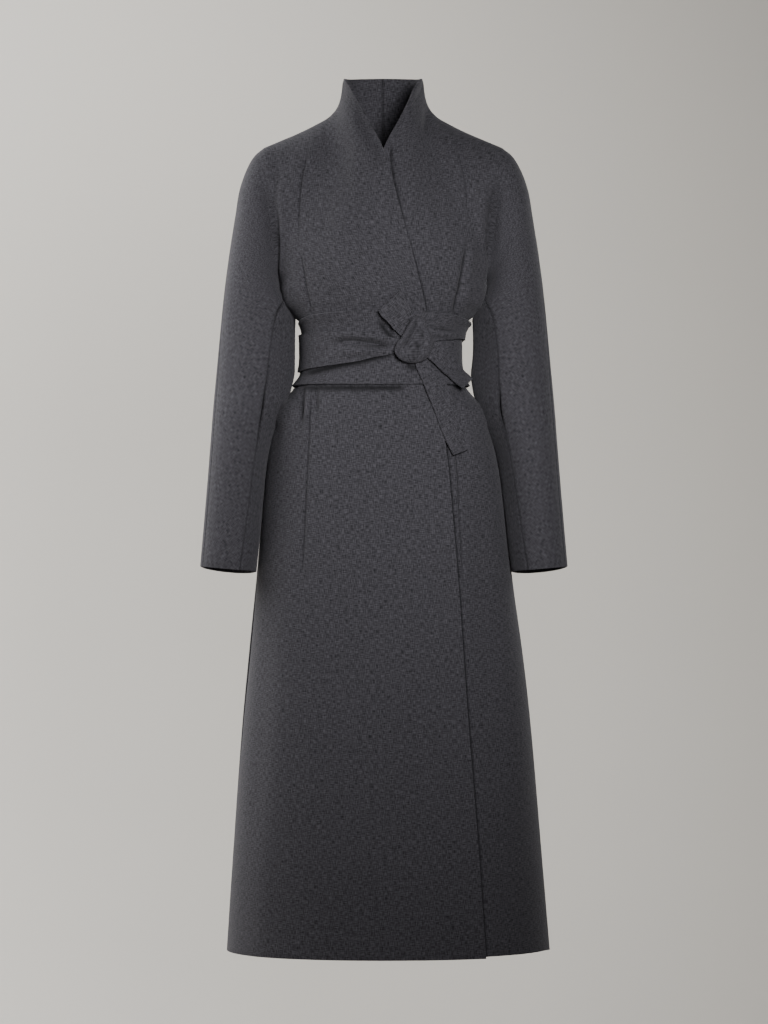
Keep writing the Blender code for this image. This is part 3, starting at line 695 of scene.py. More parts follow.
@dataclass
class ClothMesh:
    """Grids of cloth joined into one open sheet, with cloth coordinates in metres."""

    name: str
    mesh: bmesh.types.BMesh = field(default_factory=bmesh.new)

    def __post_init__(self) -> None:
        """Add the layers that every grid writes to."""
        self.cloth = self.mesh.loops.layers.uv.new("Cloth")
        self.seam = self.mesh.verts.layers.float.new("seam")
        self.turned = self.mesh.verts.layers.float.new("turned")
        # Painted shade from 0 to 1, which the material mixes into the cloth's colour.
        self.painted_shade = self.mesh.verts.layers.float.new("painted_shade")

    def lay(self, points: Array, cloth: Array, seam: Array | None = None,
            turned: Array | None = None) -> None:
        """Lay a new grid on points.

        Args:
            points: rows by columns by x, y, z.
            cloth: rows by columns by the two cloth coordinates.
            seam: 1 where the sheet is sewn to its neighbour.
            turned: 1 where a free edge is turned in and so doubled.
        """
        rows, columns = points.shape[0] - 1, points.shape[1] - 1
        grid = bmesh.ops.create_grid(self.mesh, x_segments=columns, y_segments=rows, size=0.5)
        places = {}
        for vert in grid["verts"]:
            column = round((vert.co.x + 0.5) * columns)
            row = round((vert.co.y + 0.5) * rows)
            places[vert] = (row, column)
        faces = {face for vert in grid["verts"] for face in vert.link_faces}
        for face in faces:
            for loop in face.loops:
                loop[self.cloth].uv = cloth[places[loop.vert]]
        for vert, place in places.items():
            vert.co = points[place]
            vert[self.seam] = 0.0 if seam is None else float(seam[place])
            vert[self.turned] = 0.0 if turned is None else float(turned[place])

    def join(self, outward: Callable[[Array], Array]) -> None:
        """Weld the grids and turn all faces outwards.

        Args:
            outward: gives, for points, a direction that leads out of the coat.
        """
        bmesh.ops.remove_doubles(self.mesh, verts=self.mesh.verts, dist=2.0e-5)
        bmesh.ops.recalc_face_normals(self.mesh, faces=self.mesh.faces)
        self.mesh.normal_update()
        centres = np.array([face.calc_center_median() for face in self.mesh.faces])
        normals = np.array([face.normal for face in self.mesh.faces])
        if float(np.sum(normals * outward(centres))) < 0.0:
            bmesh.ops.reverse_faces(self.mesh, faces=self.mesh.faces)
        self.mesh.normal_update()
        self.mesh.verts.ensure_lookup_table()

    def ease(self, low: Vector, high: Vector, rounds: int) -> None:
        """Ease the sheet inside a box, away from its edges.

        Args:
            low: least x, y and z of the box, with x on either side of the wearer.
            high: greatest x, y and z of the box.
            rounds: number of easing rounds.
        """
        inside = [vert for vert in self.mesh.verts
                  if low.x < abs(vert.co.x) < high.x and low.y < vert.co.y < high.y
                  and low.z < vert.co.z < high.z and not vert.is_boundary]
        for _ in range(rounds):
            bmesh.ops.smooth_vert(self.mesh, verts=inside, factor=0.5,
                                  use_axis_x=True, use_axis_y=True, use_axis_z=True)
        self.mesh.normal_update()

    def points(self) -> Array:
        """Read the sheet's points.

        Returns:
            The points, one a row.
        """
        return np.array([vert.co for vert in self.mesh.verts])

    def crease(self, heights: Array, folds: tuple[Fold, ...], seam_depth: float = 0.0011,
               seam_width: float = 0.0022) -> None:
        """Move every point along its own normal, and note the painted shade at each seam and fold.

        Args:
            heights: heights that the sheet has already, one for each point.
            folds: the folds, darts and creases.
            seam_depth: depth of the soft ditch where the sheet is sewn.
            seam_width: how far from the seam the ditch dies away.
        """
        points = self.points()
        gaps = self.seam_gaps()
        heights = heights - seam_depth * hill(gaps, seam_width)
        # Painted shade along every seam, standing in for the shadow in its ditch.
        shades = 0.5 * hill(gaps, 0.0014)
        for fold in folds:
            height, shade = fold.relief(points)
            heights = heights + height
            shades = np.maximum(shades, shade)
        for vert, height, shade in zip(self.mesh.verts, heights, shades):
            vert.co += vert.normal * float(height)
            vert[self.painted_shade] = float(shade)
        self.mesh.normal_update()

    def seam_gaps(self) -> Array:
        """Measure how far every point is from the nearest seam of the sheet.

        Returns:
            The distances, which are large where the sheet has no seam.
        """
        sewn = [vert.co.copy() for vert in self.mesh.verts if vert[self.seam] > 0.5]
        if not sewn:
            return np.full(len(self.mesh.verts), 1.0)
        tree = kdtree.KDTree(len(sewn))
        for number, place in enumerate(sewn):
            tree.insert(place, number)
        tree.balance()
        return np.array([tree.find(vert.co)[2] for vert in self.mesh.verts])

    def finish(self, wall: float, edge_wall: float, material: bpy.types.Material,
               round_edge: float, centred: bool = False) -> bpy.types.Object:
        """Make the object with its wall and rounded edges.

        Args:
            wall: thickness of the cloth.
            edge_wall: thickness where an edge is turned in.
            material: the cloth.
            round_edge: radius of the edges.
            centred: whether the sheet is the middle of the wall, not its outer face.

        Returns:
            The new object.
        """
        data = bpy.data.meshes.new(self.name)
        turned = [vert[self.turned] for vert in self.mesh.verts]
        for face in self.mesh.faces:
            face.smooth = True
        self.mesh.to_mesh(data)
        self.mesh.free()
        data.materials.append(material)
        piece = bpy.data.objects.new(self.name, data)
        bpy.context.scene.collection.objects.link(piece)
        thick = piece.modifiers.new("wall", "SOLIDIFY")
        thick.thickness = edge_wall
        thick.offset = 0.0 if centred else -1.0
        thick.use_quality_normals = True
        if edge_wall > wall:
            group = piece.vertex_groups.new(name="turned")
            for number, weight in enumerate(turned):
                group.add([number], weight, "REPLACE")
            thick.vertex_group = "turned"
            thick.thickness_vertex_group = wall / edge_wall
        edge = piece.modifiers.new("edge", "BEVEL")
        edge.width = round_edge
        edge.segments = 3
        edge.limit_method = "ANGLE"
        edge.angle_limit = math.radians(50.0)
        return piece


FORM = CoatForm()
DART_FRONT = Table(("z", "own_side"), (
    (0.020, 0.0900), (-0.054, 0.1056), (-0.111, 0.1170), (-0.168, 0.1200), (-0.237, 0.1113),
    (-0.290, 0.1000), (-0.330, 0.0960), (-0.394, 0.0985), (-0.460, 0.1020), (-0.554, 0.1070),
    (-0.665, 0.1125), (-0.900, 0.1300), (-1.196, 0.1500),
))
OVER_LINE = Table(("z", "own_side"),
                  tuple((z, own + max(-2.0 * own, 0.010)) for z, own in EDGE.rows))
DART_BACK = Table(("z", "own_side"), (
    (0.020, 0.0850), (-0.054, 0.0980), (-0.111, 0.1040), (-0.168, 0.1020), (-0.237, 0.0900),
    (-0.290, 0.0760), (-0.330, 0.0700), (-0.394, 0.0740), (-0.460, 0.0830), (-0.554, 0.0930),
    (-0.665, 0.1000), (-0.900, 0.1180), (-1.196, 0.1400),
))


@dataclass
class CoatPanel:
    """Front or back of the coat, cut in one with its half of the kimono sleeve."""

    name: str
    side: Side
    face: Face
    flat: tuple[float, float]
    area: float
    columns: tuple[int, ...] = (44, 28)
    guides: tuple[Table, ...] = (DART_FRONT,)
    waist_rows: int = 58
    skirt_rows: int = 104
    chest_rows: int = 46
    sleeve_rows: int = 96
    hem_rise: float = 0.0
    on_top: bool = False
    folds: tuple[Fold, ...] = ()

    def shares(self, lines: list[Array]) -> Array:
        """Shares of each row's columns, crowded at the edge, at each guide and at the side.

        Args:
            lines: share of the first edge and of each guide in each row.

        Returns:
            Rows by columns of shares.
        """
        lines = lines + [np.ones_like(lines[0])]
        parts = [a[:, None] + (b - a)[:, None] * crowd(count)[None, :]
                 for a, b, count in zip(lines[:-1], lines[1:], self.columns)]
        return np.concatenate([part[:, :-1] for part in parts[:-1]] + [parts[-1]], axis=1)

    def lay_body(self, cloth_mesh: ClothMesh) -> None:
        """Lay the skirt, the waist and the chest.

        Args:
            cloth_mesh: sheet that takes the grids.
        """
        down = np.linspace(0.0, 1.0, self.skirt_rows + 1)
        levels = np.concatenate((np.linspace(Z_ARM, HIP_Z, self.waist_rows + 1)[:-1],
                                 HIP_Z + (Z_HEM - HIP_Z) * down))
        own_edge = EDGE.at("own_side", levels)
        if self.face is Face.BACK:
            own_edge = np.zeros_like(levels)
        lines = [FORM.share_at(self.side, levels, own_edge)]
        lines += [FORM.share_at(self.side, levels, guide.at("own_side", levels)) for guide in self.guides]
        shares = self.shares(lines)
        skirt = FORM.section(self.side, levels[:, None], shares, self.face)
        seam, turned = np.zeros(shares.shape), np.zeros(shares.shape)
        seam[:, -1] = 1.0
        if self.face is Face.BACK:
            seam[:, 0] = 1.0
        hem = soft((levels - (Z_HEM + 0.045)) / -0.012)
        turned[:] = hem[:, None]
        if self.face is Face.FRONT:
            reach = np.linalg.norm(skirt - skirt[:, :1], axis=-1)
            turned = np.maximum(turned, 1.0 - soft((reach - 0.030) / 0.012))
        drop = self.hem_rise * (1.0 - soft((shares[-1] - 0.8) / 0.2))
        skirt[-1, :, 2] += drop
        cloth_mesh.lay(skirt, self.body_cloth(skirt), seam, turned)
        rise = crowd(self.chest_rows, 0.6)
        first = np.zeros_like(rise)
        if self.face is Face.FRONT:
            first = FORM.chest_share_at(rise, EDGE, self.face, NECK_COLUMN)
        lines = [first]
        for guide in self.guides:
            line = FORM.chest_share_at(rise, guide, self.face, 0.96)
            lines.append(np.maximum(line, lines[-1] + 0.02))
        shares = self.shares(lines)
        chest = FORM.chest(self.side, shares, rise[:, None], self.face)
        seam, turned = np.zeros(shares.shape), np.zeros(shares.shape)
        seam[-1, shares[-1] >= NECK_COLUMN] = 1.0
        if self.face is Face.BACK:
            seam[:, 0] = 1.0
        neck = chest[..., 2] > 0.030
        turned[neck] = 1.0
        if self.face is Face.FRONT:
            reach = np.linalg.norm(chest - chest[:, :1], axis=-1)
            turned = np.maximum(turned, 1.0 - soft((reach - 0.030) / 0.012))
        chest[0] = skirt[0]
        cloth_mesh.lay(chest, self.body_cloth(chest), seam, turned)
        self.lay_sleeve(cloth_mesh, rise, chest[:, -1])

    def body_cloth(self, points: Array) -> Array:
        """Cloth coordinates of the body: across from the middle, and up the grain.

        Args:
            points: grid of points, levels by columns.

        Returns:
            Coordinates in metres for each point.
        """
        steps = np.linalg.norm(np.diff(points, axis=1), axis=-1)
        across = np.concatenate((np.zeros((len(points), 1)), np.cumsum(steps, axis=1)), axis=1)
        middle = int(np.argmin(np.abs(points[0, :, 0])))
        across = across - across[:, middle:middle + 1]
        return np.stack((self.side.value * across, points[..., 2]), axis=-1)

    def lay_sleeve(self, cloth_mesh: ClothMesh, rise: Array, armhole: Array) -> None:
        """Lay this piece's half of the sleeve, from the armhole line to the cuff.

        Args:
            cloth_mesh: sheet that takes the grid.
            rise: levels of the armhole's points.
            armhole: the armhole's points.
        """
        station = np.concatenate((np.linspace(0.0, 7.0, self.sleeve_rows // 2 + 1)[:-1],
                                  np.linspace(7.0, 14.0, self.sleeve_rows // 2 + 1)))
        column = "seam_back" if self.face is Face.BACK else "seam_front"
        seam_turn = SLEEVE.at(column, station) - (360.0 if self.face is Face.BACK else 0.0)
        over = SLEEVE.at("seam_over", station)
        turn = seam_turn[:, None] + (over - seam_turn)[:, None] * rise[None, :]
        points = FORM.ring(self.side, station[:, None], turn)
        points[0] = armhole
        seam, turned = np.zeros(turn.shape), np.zeros(turn.shape)
        seam[:, 0] = 1.0
        seam[:, -1] = 1.0
        turned[:] = soft((CUFF_TURN_Z - points[..., 2]) / CUFF_TURN_FADE)
        cloth_mesh.lay(points, sleeve_cloth(points), seam, turned)

    def build(self, material: bpy.types.Material) -> bpy.types.Object:
        """Build the piece.

        Args:
            material: the cloth.

        Returns:
            The piece, riding on the coat in place of its CAD node.
        """
        cloth_mesh = ClothMesh(self.name)
        self.lay_body(cloth_mesh)
        cloth_mesh.join(outward_of_body)
        if self.face is Face.FRONT:
            cloth_mesh.ease(Vector((0.044, -0.20, -0.14)), Vector((0.085, 0.004, 0.040)), 40)
        points = cloth_mesh.points()
        heights = np.zeros(len(points))
        if self.on_top:
            heights = wrap_lift(points) + edge_stand(points)
        cloth_mesh.crease(heights, self.folds)
        piece = cloth_mesh.finish(COAT_WALL, HEM_WALL, material, 0.0013)
        return declare(piece, self.name)


def outward_of_body(points: Array) -> Array:
    """Directions out of the coat's body, kept to its middle.

    Args:
        points: points of the cloth, one a row.

    Returns:
        Directions, or zero outside the middle.
    """
    out = points * np.array((1.0, 1.0, 0.0))
    return out * (np.abs(points[:, :1]) < 0.11)


def sleeve_cloth(points: Array) -> Array:
    """Cloth coordinates of a sleeve, turned so that the grain lies on the bias.

    Args:
        points: grid of points, stations by columns.

    Returns:
        Coordinates in metres for each point.
    """
    round_steps = np.linalg.norm(np.diff(points, axis=1), axis=-1)
    across = np.concatenate((np.zeros((len(points), 1)), np.cumsum(round_steps, axis=1)), axis=1)
    across = across - across[:, -1:]
    down_steps = np.linalg.norm(np.diff(points[:, -1], axis=0), axis=-1)
    down = np.concatenate(([0.0], np.cumsum(down_steps)))[:, None] + 0.0 * across
    bias = math.radians(SLEEVE_BIAS_DEG)
    u = math.cos(bias) * across - math.sin(bias) * down
    v = math.sin(bias) * across + math.cos(bias) * down
    return np.stack((u, v), axis=-1)


def declare(piece: bpy.types.Object, node: str) -> bpy.types.Object:
    """Tie a piece to the coat in place of its CAD node, and hide the node.

    Args:
        piece: the finished piece.
        node: CAD node that it stands for.

    Returns:
        The same piece.
    """
    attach(piece, "root")
    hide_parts(node)
    LOG.info("%s: %d faces before its wall", piece.name, len(piece.data.polygons))
    return piece


@dataclass
class UnderSleeve:
    """Long piece under the arm between the two lower sleeve seams.

    The gusset is how far its front half falls back from the seam, and lean is how
    far it swells towards the body above and below the belt.
    """

    name: str
    side: Side
    rows: int = 110
    columns: int = 40
    gusset: float = 0.0110
    lean: tuple[float, float] = (0.0060, 0.0075)

    def build(self, material: bpy.types.Material) -> bpy.types.Object:
        """Build the piece.

        Args:
            material: the cloth.

        Returns:
            The piece, riding on the coat in place of its CAD node.
        """
        station = np.linspace(1.0, 14.0, self.rows + 1)
        first = SLEEVE.at("seam_front", station)[:, None]
        last = SLEEVE.at("seam_back", station)[:, None]
        turn = first + (last - first) * crowd(self.columns, 0.7)[None, :]
        points = FORM.ring(self.side, station[:, None], turn)
        hollow = np.sin(np.pi * np.clip((turn - first) / (182.0 - first), 0.0, 1.0)) ** 0.8
        reach = soft((station - 3.0) / 3.0) * (1.0 - 0.7 * soft((station - 10.5) / 3.5))
        points[..., 1] += self.gusset * hollow * reach[:, None]
        seam = np.zeros(turn.shape)
        seam[:, 0] = 1.0
        seam[:, -1] = 1.0
        turned = soft((CUFF_TURN_Z - points[..., 2]) / CUFF_TURN_FADE)
        cloth_mesh = ClothMesh(self.name)
        cloth_mesh.lay(points, sleeve_cloth(points), seam, turned)
        centre_x = self.side.value * 0.19
        cloth_mesh.join(lambda at: (at - np.array((centre_x, 0.0, 0.0))) * np.array((1.0, 1.0, 0.0)))
        points = cloth_mesh.points()
        out = np.abs(points[:, 0])
        upper = hill(points[:, 2] + 0.262, 0.034) * hill(out - 0.140, 0.020)
        lower = hill(points[:, 2] + 0.432, 0.040) * hill(out - 0.152, 0.022)
        cloth_mesh.crease(self.lean[0] * upper + self.lean[1] * lower, ())
        piece = cloth_mesh.finish(COAT_WALL, HEM_WALL, material, 0.0013)
        return declare(piece, self.name)


OBI = Table(("turn", "top", "bottom"), (
    (-180, -0.2890, -0.3930), (-130, -0.2950, -0.3935), (-90, -0.3000, -0.3940),
    (-65, -0.2945, -0.3938), (-35, -0.2870, -0.3932), (0, -0.2842, -0.3930),
    (35, -0.2868, -0.3930), (65, -0.2950, -0.3935), (90, -0.3020, -0.3940),
    (130, -0.2950, -0.3935), (180, -0.2890, -0.3930),
))
TIE = Table(("turn", "top", "bottom"), (
    (-180, -0.3170, -0.3580), (-135, -0.3175, -0.3670), (-90, -0.3175, -0.3735),
    (-60, -0.3165, -0.3700), (-32, -0.3154, -0.3640), (-15, -0.3160, -0.3590),
    (-4, -0.3190, -0.3525), (9, -0.3255, -0.3465), (20, -0.3150, -0.3420),
    (30, -0.2960, -0.3340), (38, -0.2890, -0.3285), (50, -0.2900, -0.3255),
    (65, -0.2935, -0.3235), (90, -0.2990, -0.3245), (135, -0.3090, -0.3420),
    (180, -0.3170, -0.3580),
))


@dataclass
class Band:
    """Band of doubled cloth that goes all round the waist."""

    name: str
    table: Table
    low: float
    flat: tuple[float, float]
    area: float
    columns: int = 400
    rows: int = 52
    folds: tuple[Fold, ...] = ()

    def build(self, material: bpy.types.Material) -> bpy.types.Object:
        """Build the band.

        Args:
            material: the cloth.

        Returns:
            The piece, riding on the coat in place of its CAD node.
        """
        turn = np.linspace(-180.0, 180.0, self.columns + 1)[None, :]
        share = crowd(self.rows, 0.7)[:, None]
        top, bottom = self.table.at("top", turn), self.table.at("bottom", turn)
        z = top + (bottom - top) * share
        point, normal = FORM.waist(turn + 0.0 * z, z)
        middle = self.low + BELT_WALL / 2
        point = point + normal * (middle + belt_lift(point))[..., None]
        steps = np.linalg.norm(np.diff(point[self.rows // 2], axis=0), axis=-1)
        around = np.concatenate(([0.0], np.cumsum(steps)))[None, :] + 0.0 * z
        cloth = np.stack((around, z), axis=-1)
        cloth_mesh = ClothMesh(self.name)
        cloth_mesh.lay(point, cloth)
        cloth_mesh.join(lambda at: at * np.array((1.0, 1.0, 0.0)))
        cloth_mesh.crease(np.zeros(len(cloth_mesh.mesh.verts)), self.folds)
        piece = cloth_mesh.finish(BELT_WALL, BELT_WALL, material, 0.0012, centred=True)
        return declare(piece, self.name)


STRAP_COLUMNS = ("edge_x", "edge_z", "other_x", "other_z", "height")
LOOP = Table(STRAP_COLUMNS, (
    (0.0289, -0.3245, 0.0500, -0.2935, 0.0146),
    (0.0200, -0.3165, 0.0430, -0.2870, 0.0142),
    (0.0080, -0.3000, 0.0350, -0.2745, 0.0130),
    (-0.0010, -0.2880, 0.0285, -0.2640, 0.0112),
    (-0.0050, -0.2825, 0.0250, -0.2590, 0.0130),
    (-0.0056, -0.2818, 0.0245, -0.2583, 0.0165),
    (-0.0045, -0.2835, 0.0255, -0.2600, 0.0200),
    (0.0010, -0.2910, 0.0300, -0.2660, 0.0222),
    (0.0090, -0.3015, 0.0362, -0.2760, 0.0234),
    (0.0160, -0.3120, 0.0415, -0.2860, 0.0240),
))
TAIL_SIDE = Table(STRAP_COLUMNS, (
    (0.0650, -0.3230, 0.0540, -0.3440, 0.0155),
    (0.0719, -0.3286, 0.0618, -0.3523, 0.0155),
    (0.0838, -0.3371, 0.0710, -0.3615, 0.0155),
    (0.0925, -0.3455, 0.0800, -0.3710, 0.0155),
    (0.1010, -0.3553, 0.0890, -0.3815, 0.0155),
    (0.1140, -0.3725, 0.1000, -0.3925, 0.0155),
    (0.1262, -0.3900, 0.1134, -0.4041, 0.0156),
))
TAIL_DOWN = Table(STRAP_COLUMNS, (
    (0.0400, -0.3480, 0.0540, -0.3490, 0.0124),
    (0.0456, -0.3641, 0.0640, -0.3600, 0.0118),
    (0.0515, -0.3812, 0.0740, -0.3745, 0.0117),
    (0.0583, -0.3965, 0.0850, -0.3860, 0.0111),
    (0.0650, -0.4130, 0.0920, -0.4010, 0.0094),
    (0.0719, -0.4288, 0.0991, -0.4186, 0.0080),
    (0.0838, -0.4611, 0.1094, -0.4458, 0.0070),
    (0.0991, -0.4919, 0.1196, -0.4840, 0.0068),
))


@dataclass
class Strap:
    """Doubled strap laid along two edges over the belt and skirt."""

    name: str
    table: Table
    flat: tuple[float, float]
    area: float
    rows: int = 90
    columns: int = 24

    def build(self, material: bpy.types.Material) -> bpy.types.Object:
        """Build the strap.

        Args:
            material: the cloth.

        Returns:
            The piece, riding on the coat in place of its CAD node.
        """
        table = self.table.numbered()
        station = np.linspace(0.0, len(table.rows) - 1.0, self.rows + 1)[:, None]
        across = crowd(self.columns, 0.5)[None, :]
        x = table.at("edge_x", station) * (1.0 - across) + table.at("other_x", station) * across
        z = table.at("edge_z", station) * (1.0 - across) + table.at("other_z", station) * across
        height = table.at("height", station) - WRAP_LIFT + 0.0 * across
        point = FORM.place(x, z, height)
        widths = np.linalg.norm(np.diff(point, axis=1), axis=-1)
        u = np.concatenate((np.zeros((len(point), 1)), np.cumsum(widths, axis=1)), axis=1)
        lengths = np.linalg.norm(np.diff(point[:, self.columns // 2], axis=0), axis=-1)
        v = np.concatenate(([0.0], np.cumsum(lengths)))[:, None] + 0.0 * u
        cloth_mesh = ClothMesh(self.name)
        cloth_mesh.lay(point, np.stack((v, u), axis=-1))
        cloth_mesh.join(lambda at: np.array((0.0, -1.0, 0.0)) + 0.0 * at)
        piece = cloth_mesh.finish(BELT_WALL, BELT_WALL, material, 0.0013, centred=True)
        return declare(piece, self.name)


KNOT = Table(("z", "x", "half_width", "low", "high"), (
    (-0.3629, 0.0412, 0.0060, 0.0180, 0.0200),
    (-0.3594, 0.0417, 0.0151, 0.0178, 0.0250),
    (-0.3510, 0.0420, 0.0232, 0.0178, 0.0288),
    (-0.3439, 0.0423, 0.0263, 0.0178, 0.0302),
    (-0.3341, 0.0459, 0.0263, 0.0178, 0.0308),
    (-0.3229, 0.0483, 0.0210, 0.0178, 0.0302),
    (-0.3033, 0.0490, 0.0125, 0.0178, 0.0270),
    (-0.2935, 0.0508, 0.0085, 0.0178, 0.0235),
    (-0.2890, 0.0512, 0.0050, 0.0180, 0.0200),
))


@dataclass
class Knot:
    """Folded cloth of the knot, wrapped over the straps."""

    name: str
    table: Table
    flat: tuple[float, float] = (0.056, 0.065)
    area: float = 0.0036
    rows: int = 90
    columns: int = 120
    squareness: float = 0.50
    rim_shade: float = 0.85
    folds: tuple[Fold, ...] = ()

    def build(self, material: bpy.types.Material) -> bpy.types.Object:
        """Build the knot.

        Args:
            material: the cloth.

        Returns:
            The piece, riding on the coat in place of its CAD node.
        """
        level = np.linspace(self.table.rows[0][0], self.table.rows[-1][0], self.rows + 1)[:, None]
        angle = np.linspace(0.0, 2.0 * math.pi, self.columns + 1)[None, :]
        reach = self.table.at("half_width", level)
        low, high = self.table.at("low", level), self.table.at("high", level)
        across = np.sign(np.cos(angle)) * np.abs(np.cos(angle)) ** self.squareness
        up = np.sign(np.sin(angle)) * np.abs(np.sin(angle)) ** self.squareness
        x = self.table.at("x", level) + reach * across
        height = (low + high) / 2 + (high - low) / 2 * up - WRAP_LIFT
        point = FORM.place(x, level + 0.0 * x, height)
        u = np.linspace(0.0, 0.12, self.columns + 1)[None, :] + 0.0 * x
        v = level + 0.0 * x
        cloth_mesh = ClothMesh(self.name)
        cloth_mesh.lay(point, np.stack((u, v), axis=-1))
        bmesh.ops.remove_doubles(cloth_mesh.mesh, verts=cloth_mesh.mesh.verts, dist=2.0e-5)
        open_edges = [edge for edge in cloth_mesh.mesh.edges if edge.is_boundary]
        bmesh.ops.holes_fill(cloth_mesh.mesh, edges=open_edges, sides=0)
        cloth_mesh.join(lambda at: at - np.array((0.045, -0.10, -0.33)))
        cloth_mesh.crease(np.zeros(len(cloth_mesh.mesh.verts)), self.folds)
        # Painted shade: the knot's sides darken towards near black as they turn edge-on to the front,
        # which draws its outline.
        for vert in cloth_mesh.mesh.verts:
            edge_on = 1.0 - max(0.0, -vert.normal.y)
            shade = self.rim_shade * edge_on ** 3
            vert[cloth_mesh.painted_shade] = max(vert[cloth_mesh.painted_shade], shade)
        data = bpy.data.meshes.new(self.name)
        for face in cloth_mesh.mesh.faces:
            face.smooth = True
        cloth_mesh.mesh.to_mesh(data)
        cloth_mesh.mesh.free()
        data.materials.append(material)
        piece = bpy.data.objects.new(self.name, data)
        bpy.context.scene.collection.objects.link(piece)
        return declare(piece, self.name)


@dataclass
class Studio:
    """Pale floor and backdrop, soft lights and the camera."""

    camera_distance: float = 7.0
    camera_height: float = -0.571
    camera_x: float = 0.0014
    lens_mm: float = 172.0
    floor_z: float = -1.47
    backdrop_y: float = 2.6

    def build(self) -> None:
        """Build the stage, the lights and the camera."""
        self.backdrop()
        self.lamp("key", (0.42, -2.3, -0.04), (0.05, 0.0, -0.34), 0.6, 6.9, 58.0)
        self.lamp("fill", (0.2, -3.8, 0.0), (0.0, 0.0, -0.5), 1.0, 1.7, 180.0)
        self.lamp("backdrop_wash", (-1.4, 0.9, 0.5), (-0.7, 2.6, -2.2), 2.4, 96.0, 180.0)
        self.lamp("back_left", (1.5, 1.7, 0.1), (0.0, 0.0, -0.5), 0.8, 3.2, 90.0)
        self.lamp("back_right", (-1.5, 1.9, 0.1), (0.0, 0.0, -0.5), 0.8, 5.0, 90.0)
        world = bpy.data.worlds.new("studio")
        bpy.context.scene.world = world
        world.use_nodes = True
        background = world.node_tree.nodes["Background"]
        background.inputs["Color"].default_value = hex_colour("dcdad6")
        background.inputs["Strength"].default_value = 0.045
        camera_data = bpy.data.cameras.new("camera")
        camera_data.lens = self.lens_mm
        camera_data.sensor_width = 36.0
        camera_data.sensor_height = 36.0
        camera_data.sensor_fit = "VERTICAL"
        camera = bpy.data.objects.new("camera", camera_data)
        camera.location = (self.camera_x, -self.camera_distance, self.camera_height)
        camera.rotation_euler = (math.radians(90.0), 0.0, 0.0)
        bpy.context.scene.collection.objects.link(camera)
        bpy.context.scene.camera = camera

    def backdrop(self) -> None:
        """Floor that curves up into a wall behind the coat."""
        sweep = bmesh.new()
        bmesh.ops.create_grid(sweep, x_segments=2, y_segments=40, size=0.5)
        radius = 1.2
        bend = radius * math.pi / 2
        front, wall = 9.0, 5.0
        for vert in sweep.verts:
            run = (vert.co.y + 0.5) * (front + bend + wall)
            x = vert.co.x * 16.0
            turn = min(max(run - front, 0.0), bend) / radius
            y = self.backdrop_y - radius - front + min(run, front) + radius * math.sin(turn)
            z = self.floor_z + radius * (1.0 - math.cos(turn)) + max(run - front - bend, 0.0)
            vert.co = Vector((x, y, z))
        sweep.normal_update()
        if sum(face.normal.z for face in sweep.faces) < 0.0:
            bmesh.ops.reverse_faces(sweep, faces=sweep.faces)
        for face in sweep.faces:
            face.smooth = True
        data = bpy.data.meshes.new("backdrop")
        sweep.to_mesh(data)
        sweep.free()
        material = bpy.data.materials.new("studio_paint")
        material.use_nodes = True
        shader = material.node_tree.nodes["Principled BSDF"]
        shader.inputs["Base Color"].default_value = hex_colour("c9c5be")
        shader.inputs["Roughness"].default_value = 0.95
        # The wall is clear from behind, so that the coat's back can be seen past it.
        tree = material.node_tree
        side = add_node(tree, "ShaderNodeNewGeometry", {})
        clear = add_node(tree, "ShaderNodeBsdfTransparent", {})
        one_way = add_node(tree, "ShaderNodeMixShader", {}, {
            0: side.outputs["Backfacing"], 1: shader.outputs["BSDF"], 2: clear.outputs["BSDF"]})
        tree.links.new(one_way.outputs["Shader"], tree.nodes["Material Output"].inputs["Surface"])
        data.materials.append(material)
        backdrop = bpy.data.objects.new("backdrop", data)
        bpy.context.scene.collection.objects.link(backdrop)

    def lamp(self, name: str, place: tuple[float, float, float], aim: tuple[float, float, float],
             size: float, power: float, spread: float) -> None:
        """Add a square soft lamp.

        Args:
            name: name of the lamp.
            place: where it stands.
            aim: what it points at.
            size: side of its face.
            power: watts.
            spread: degrees over which it throws its light.
        """
        data = bpy.data.lights.new(name, "AREA")
        data.shape = "SQUARE"
        data.size = size
        data.energy = power
        data.spread = math.radians(spread)
        light = bpy.data.objects.new(name, data)
        light.visible_camera = False
        light.location = place
        way = Vector(aim) - Vector(place)
        light.rotation_euler = way.to_track_quat("-Z", "Y").to_euler()
        bpy.context.scene.collection.objects.link(light)


def side_swell(side: Side, face: Face) -> tuple[Fold, ...]:
    """Soft swell of the body's side where it meets the sleeve above and below the belt.

    Args:
        side: side of the wearer.
        face: front or back.

    Returns:
        The swells, for the panels that meet at that side seam.
    """
    chest = ((0.132, -0.240), (0.136, -0.262), (0.130, -0.286))
    hip = ((0.134, -0.408), (0.144, -0.428), (0.154, -0.452))
    above = tuple((side.value * x, z) for x, z in chest)
    below = tuple((side.value * x, z) for x, z in hip)
    return (Fold(above, 0.0060, 0.0160, face, 0.3), Fold(below, 0.0050, 0.0160, face, 0.3))
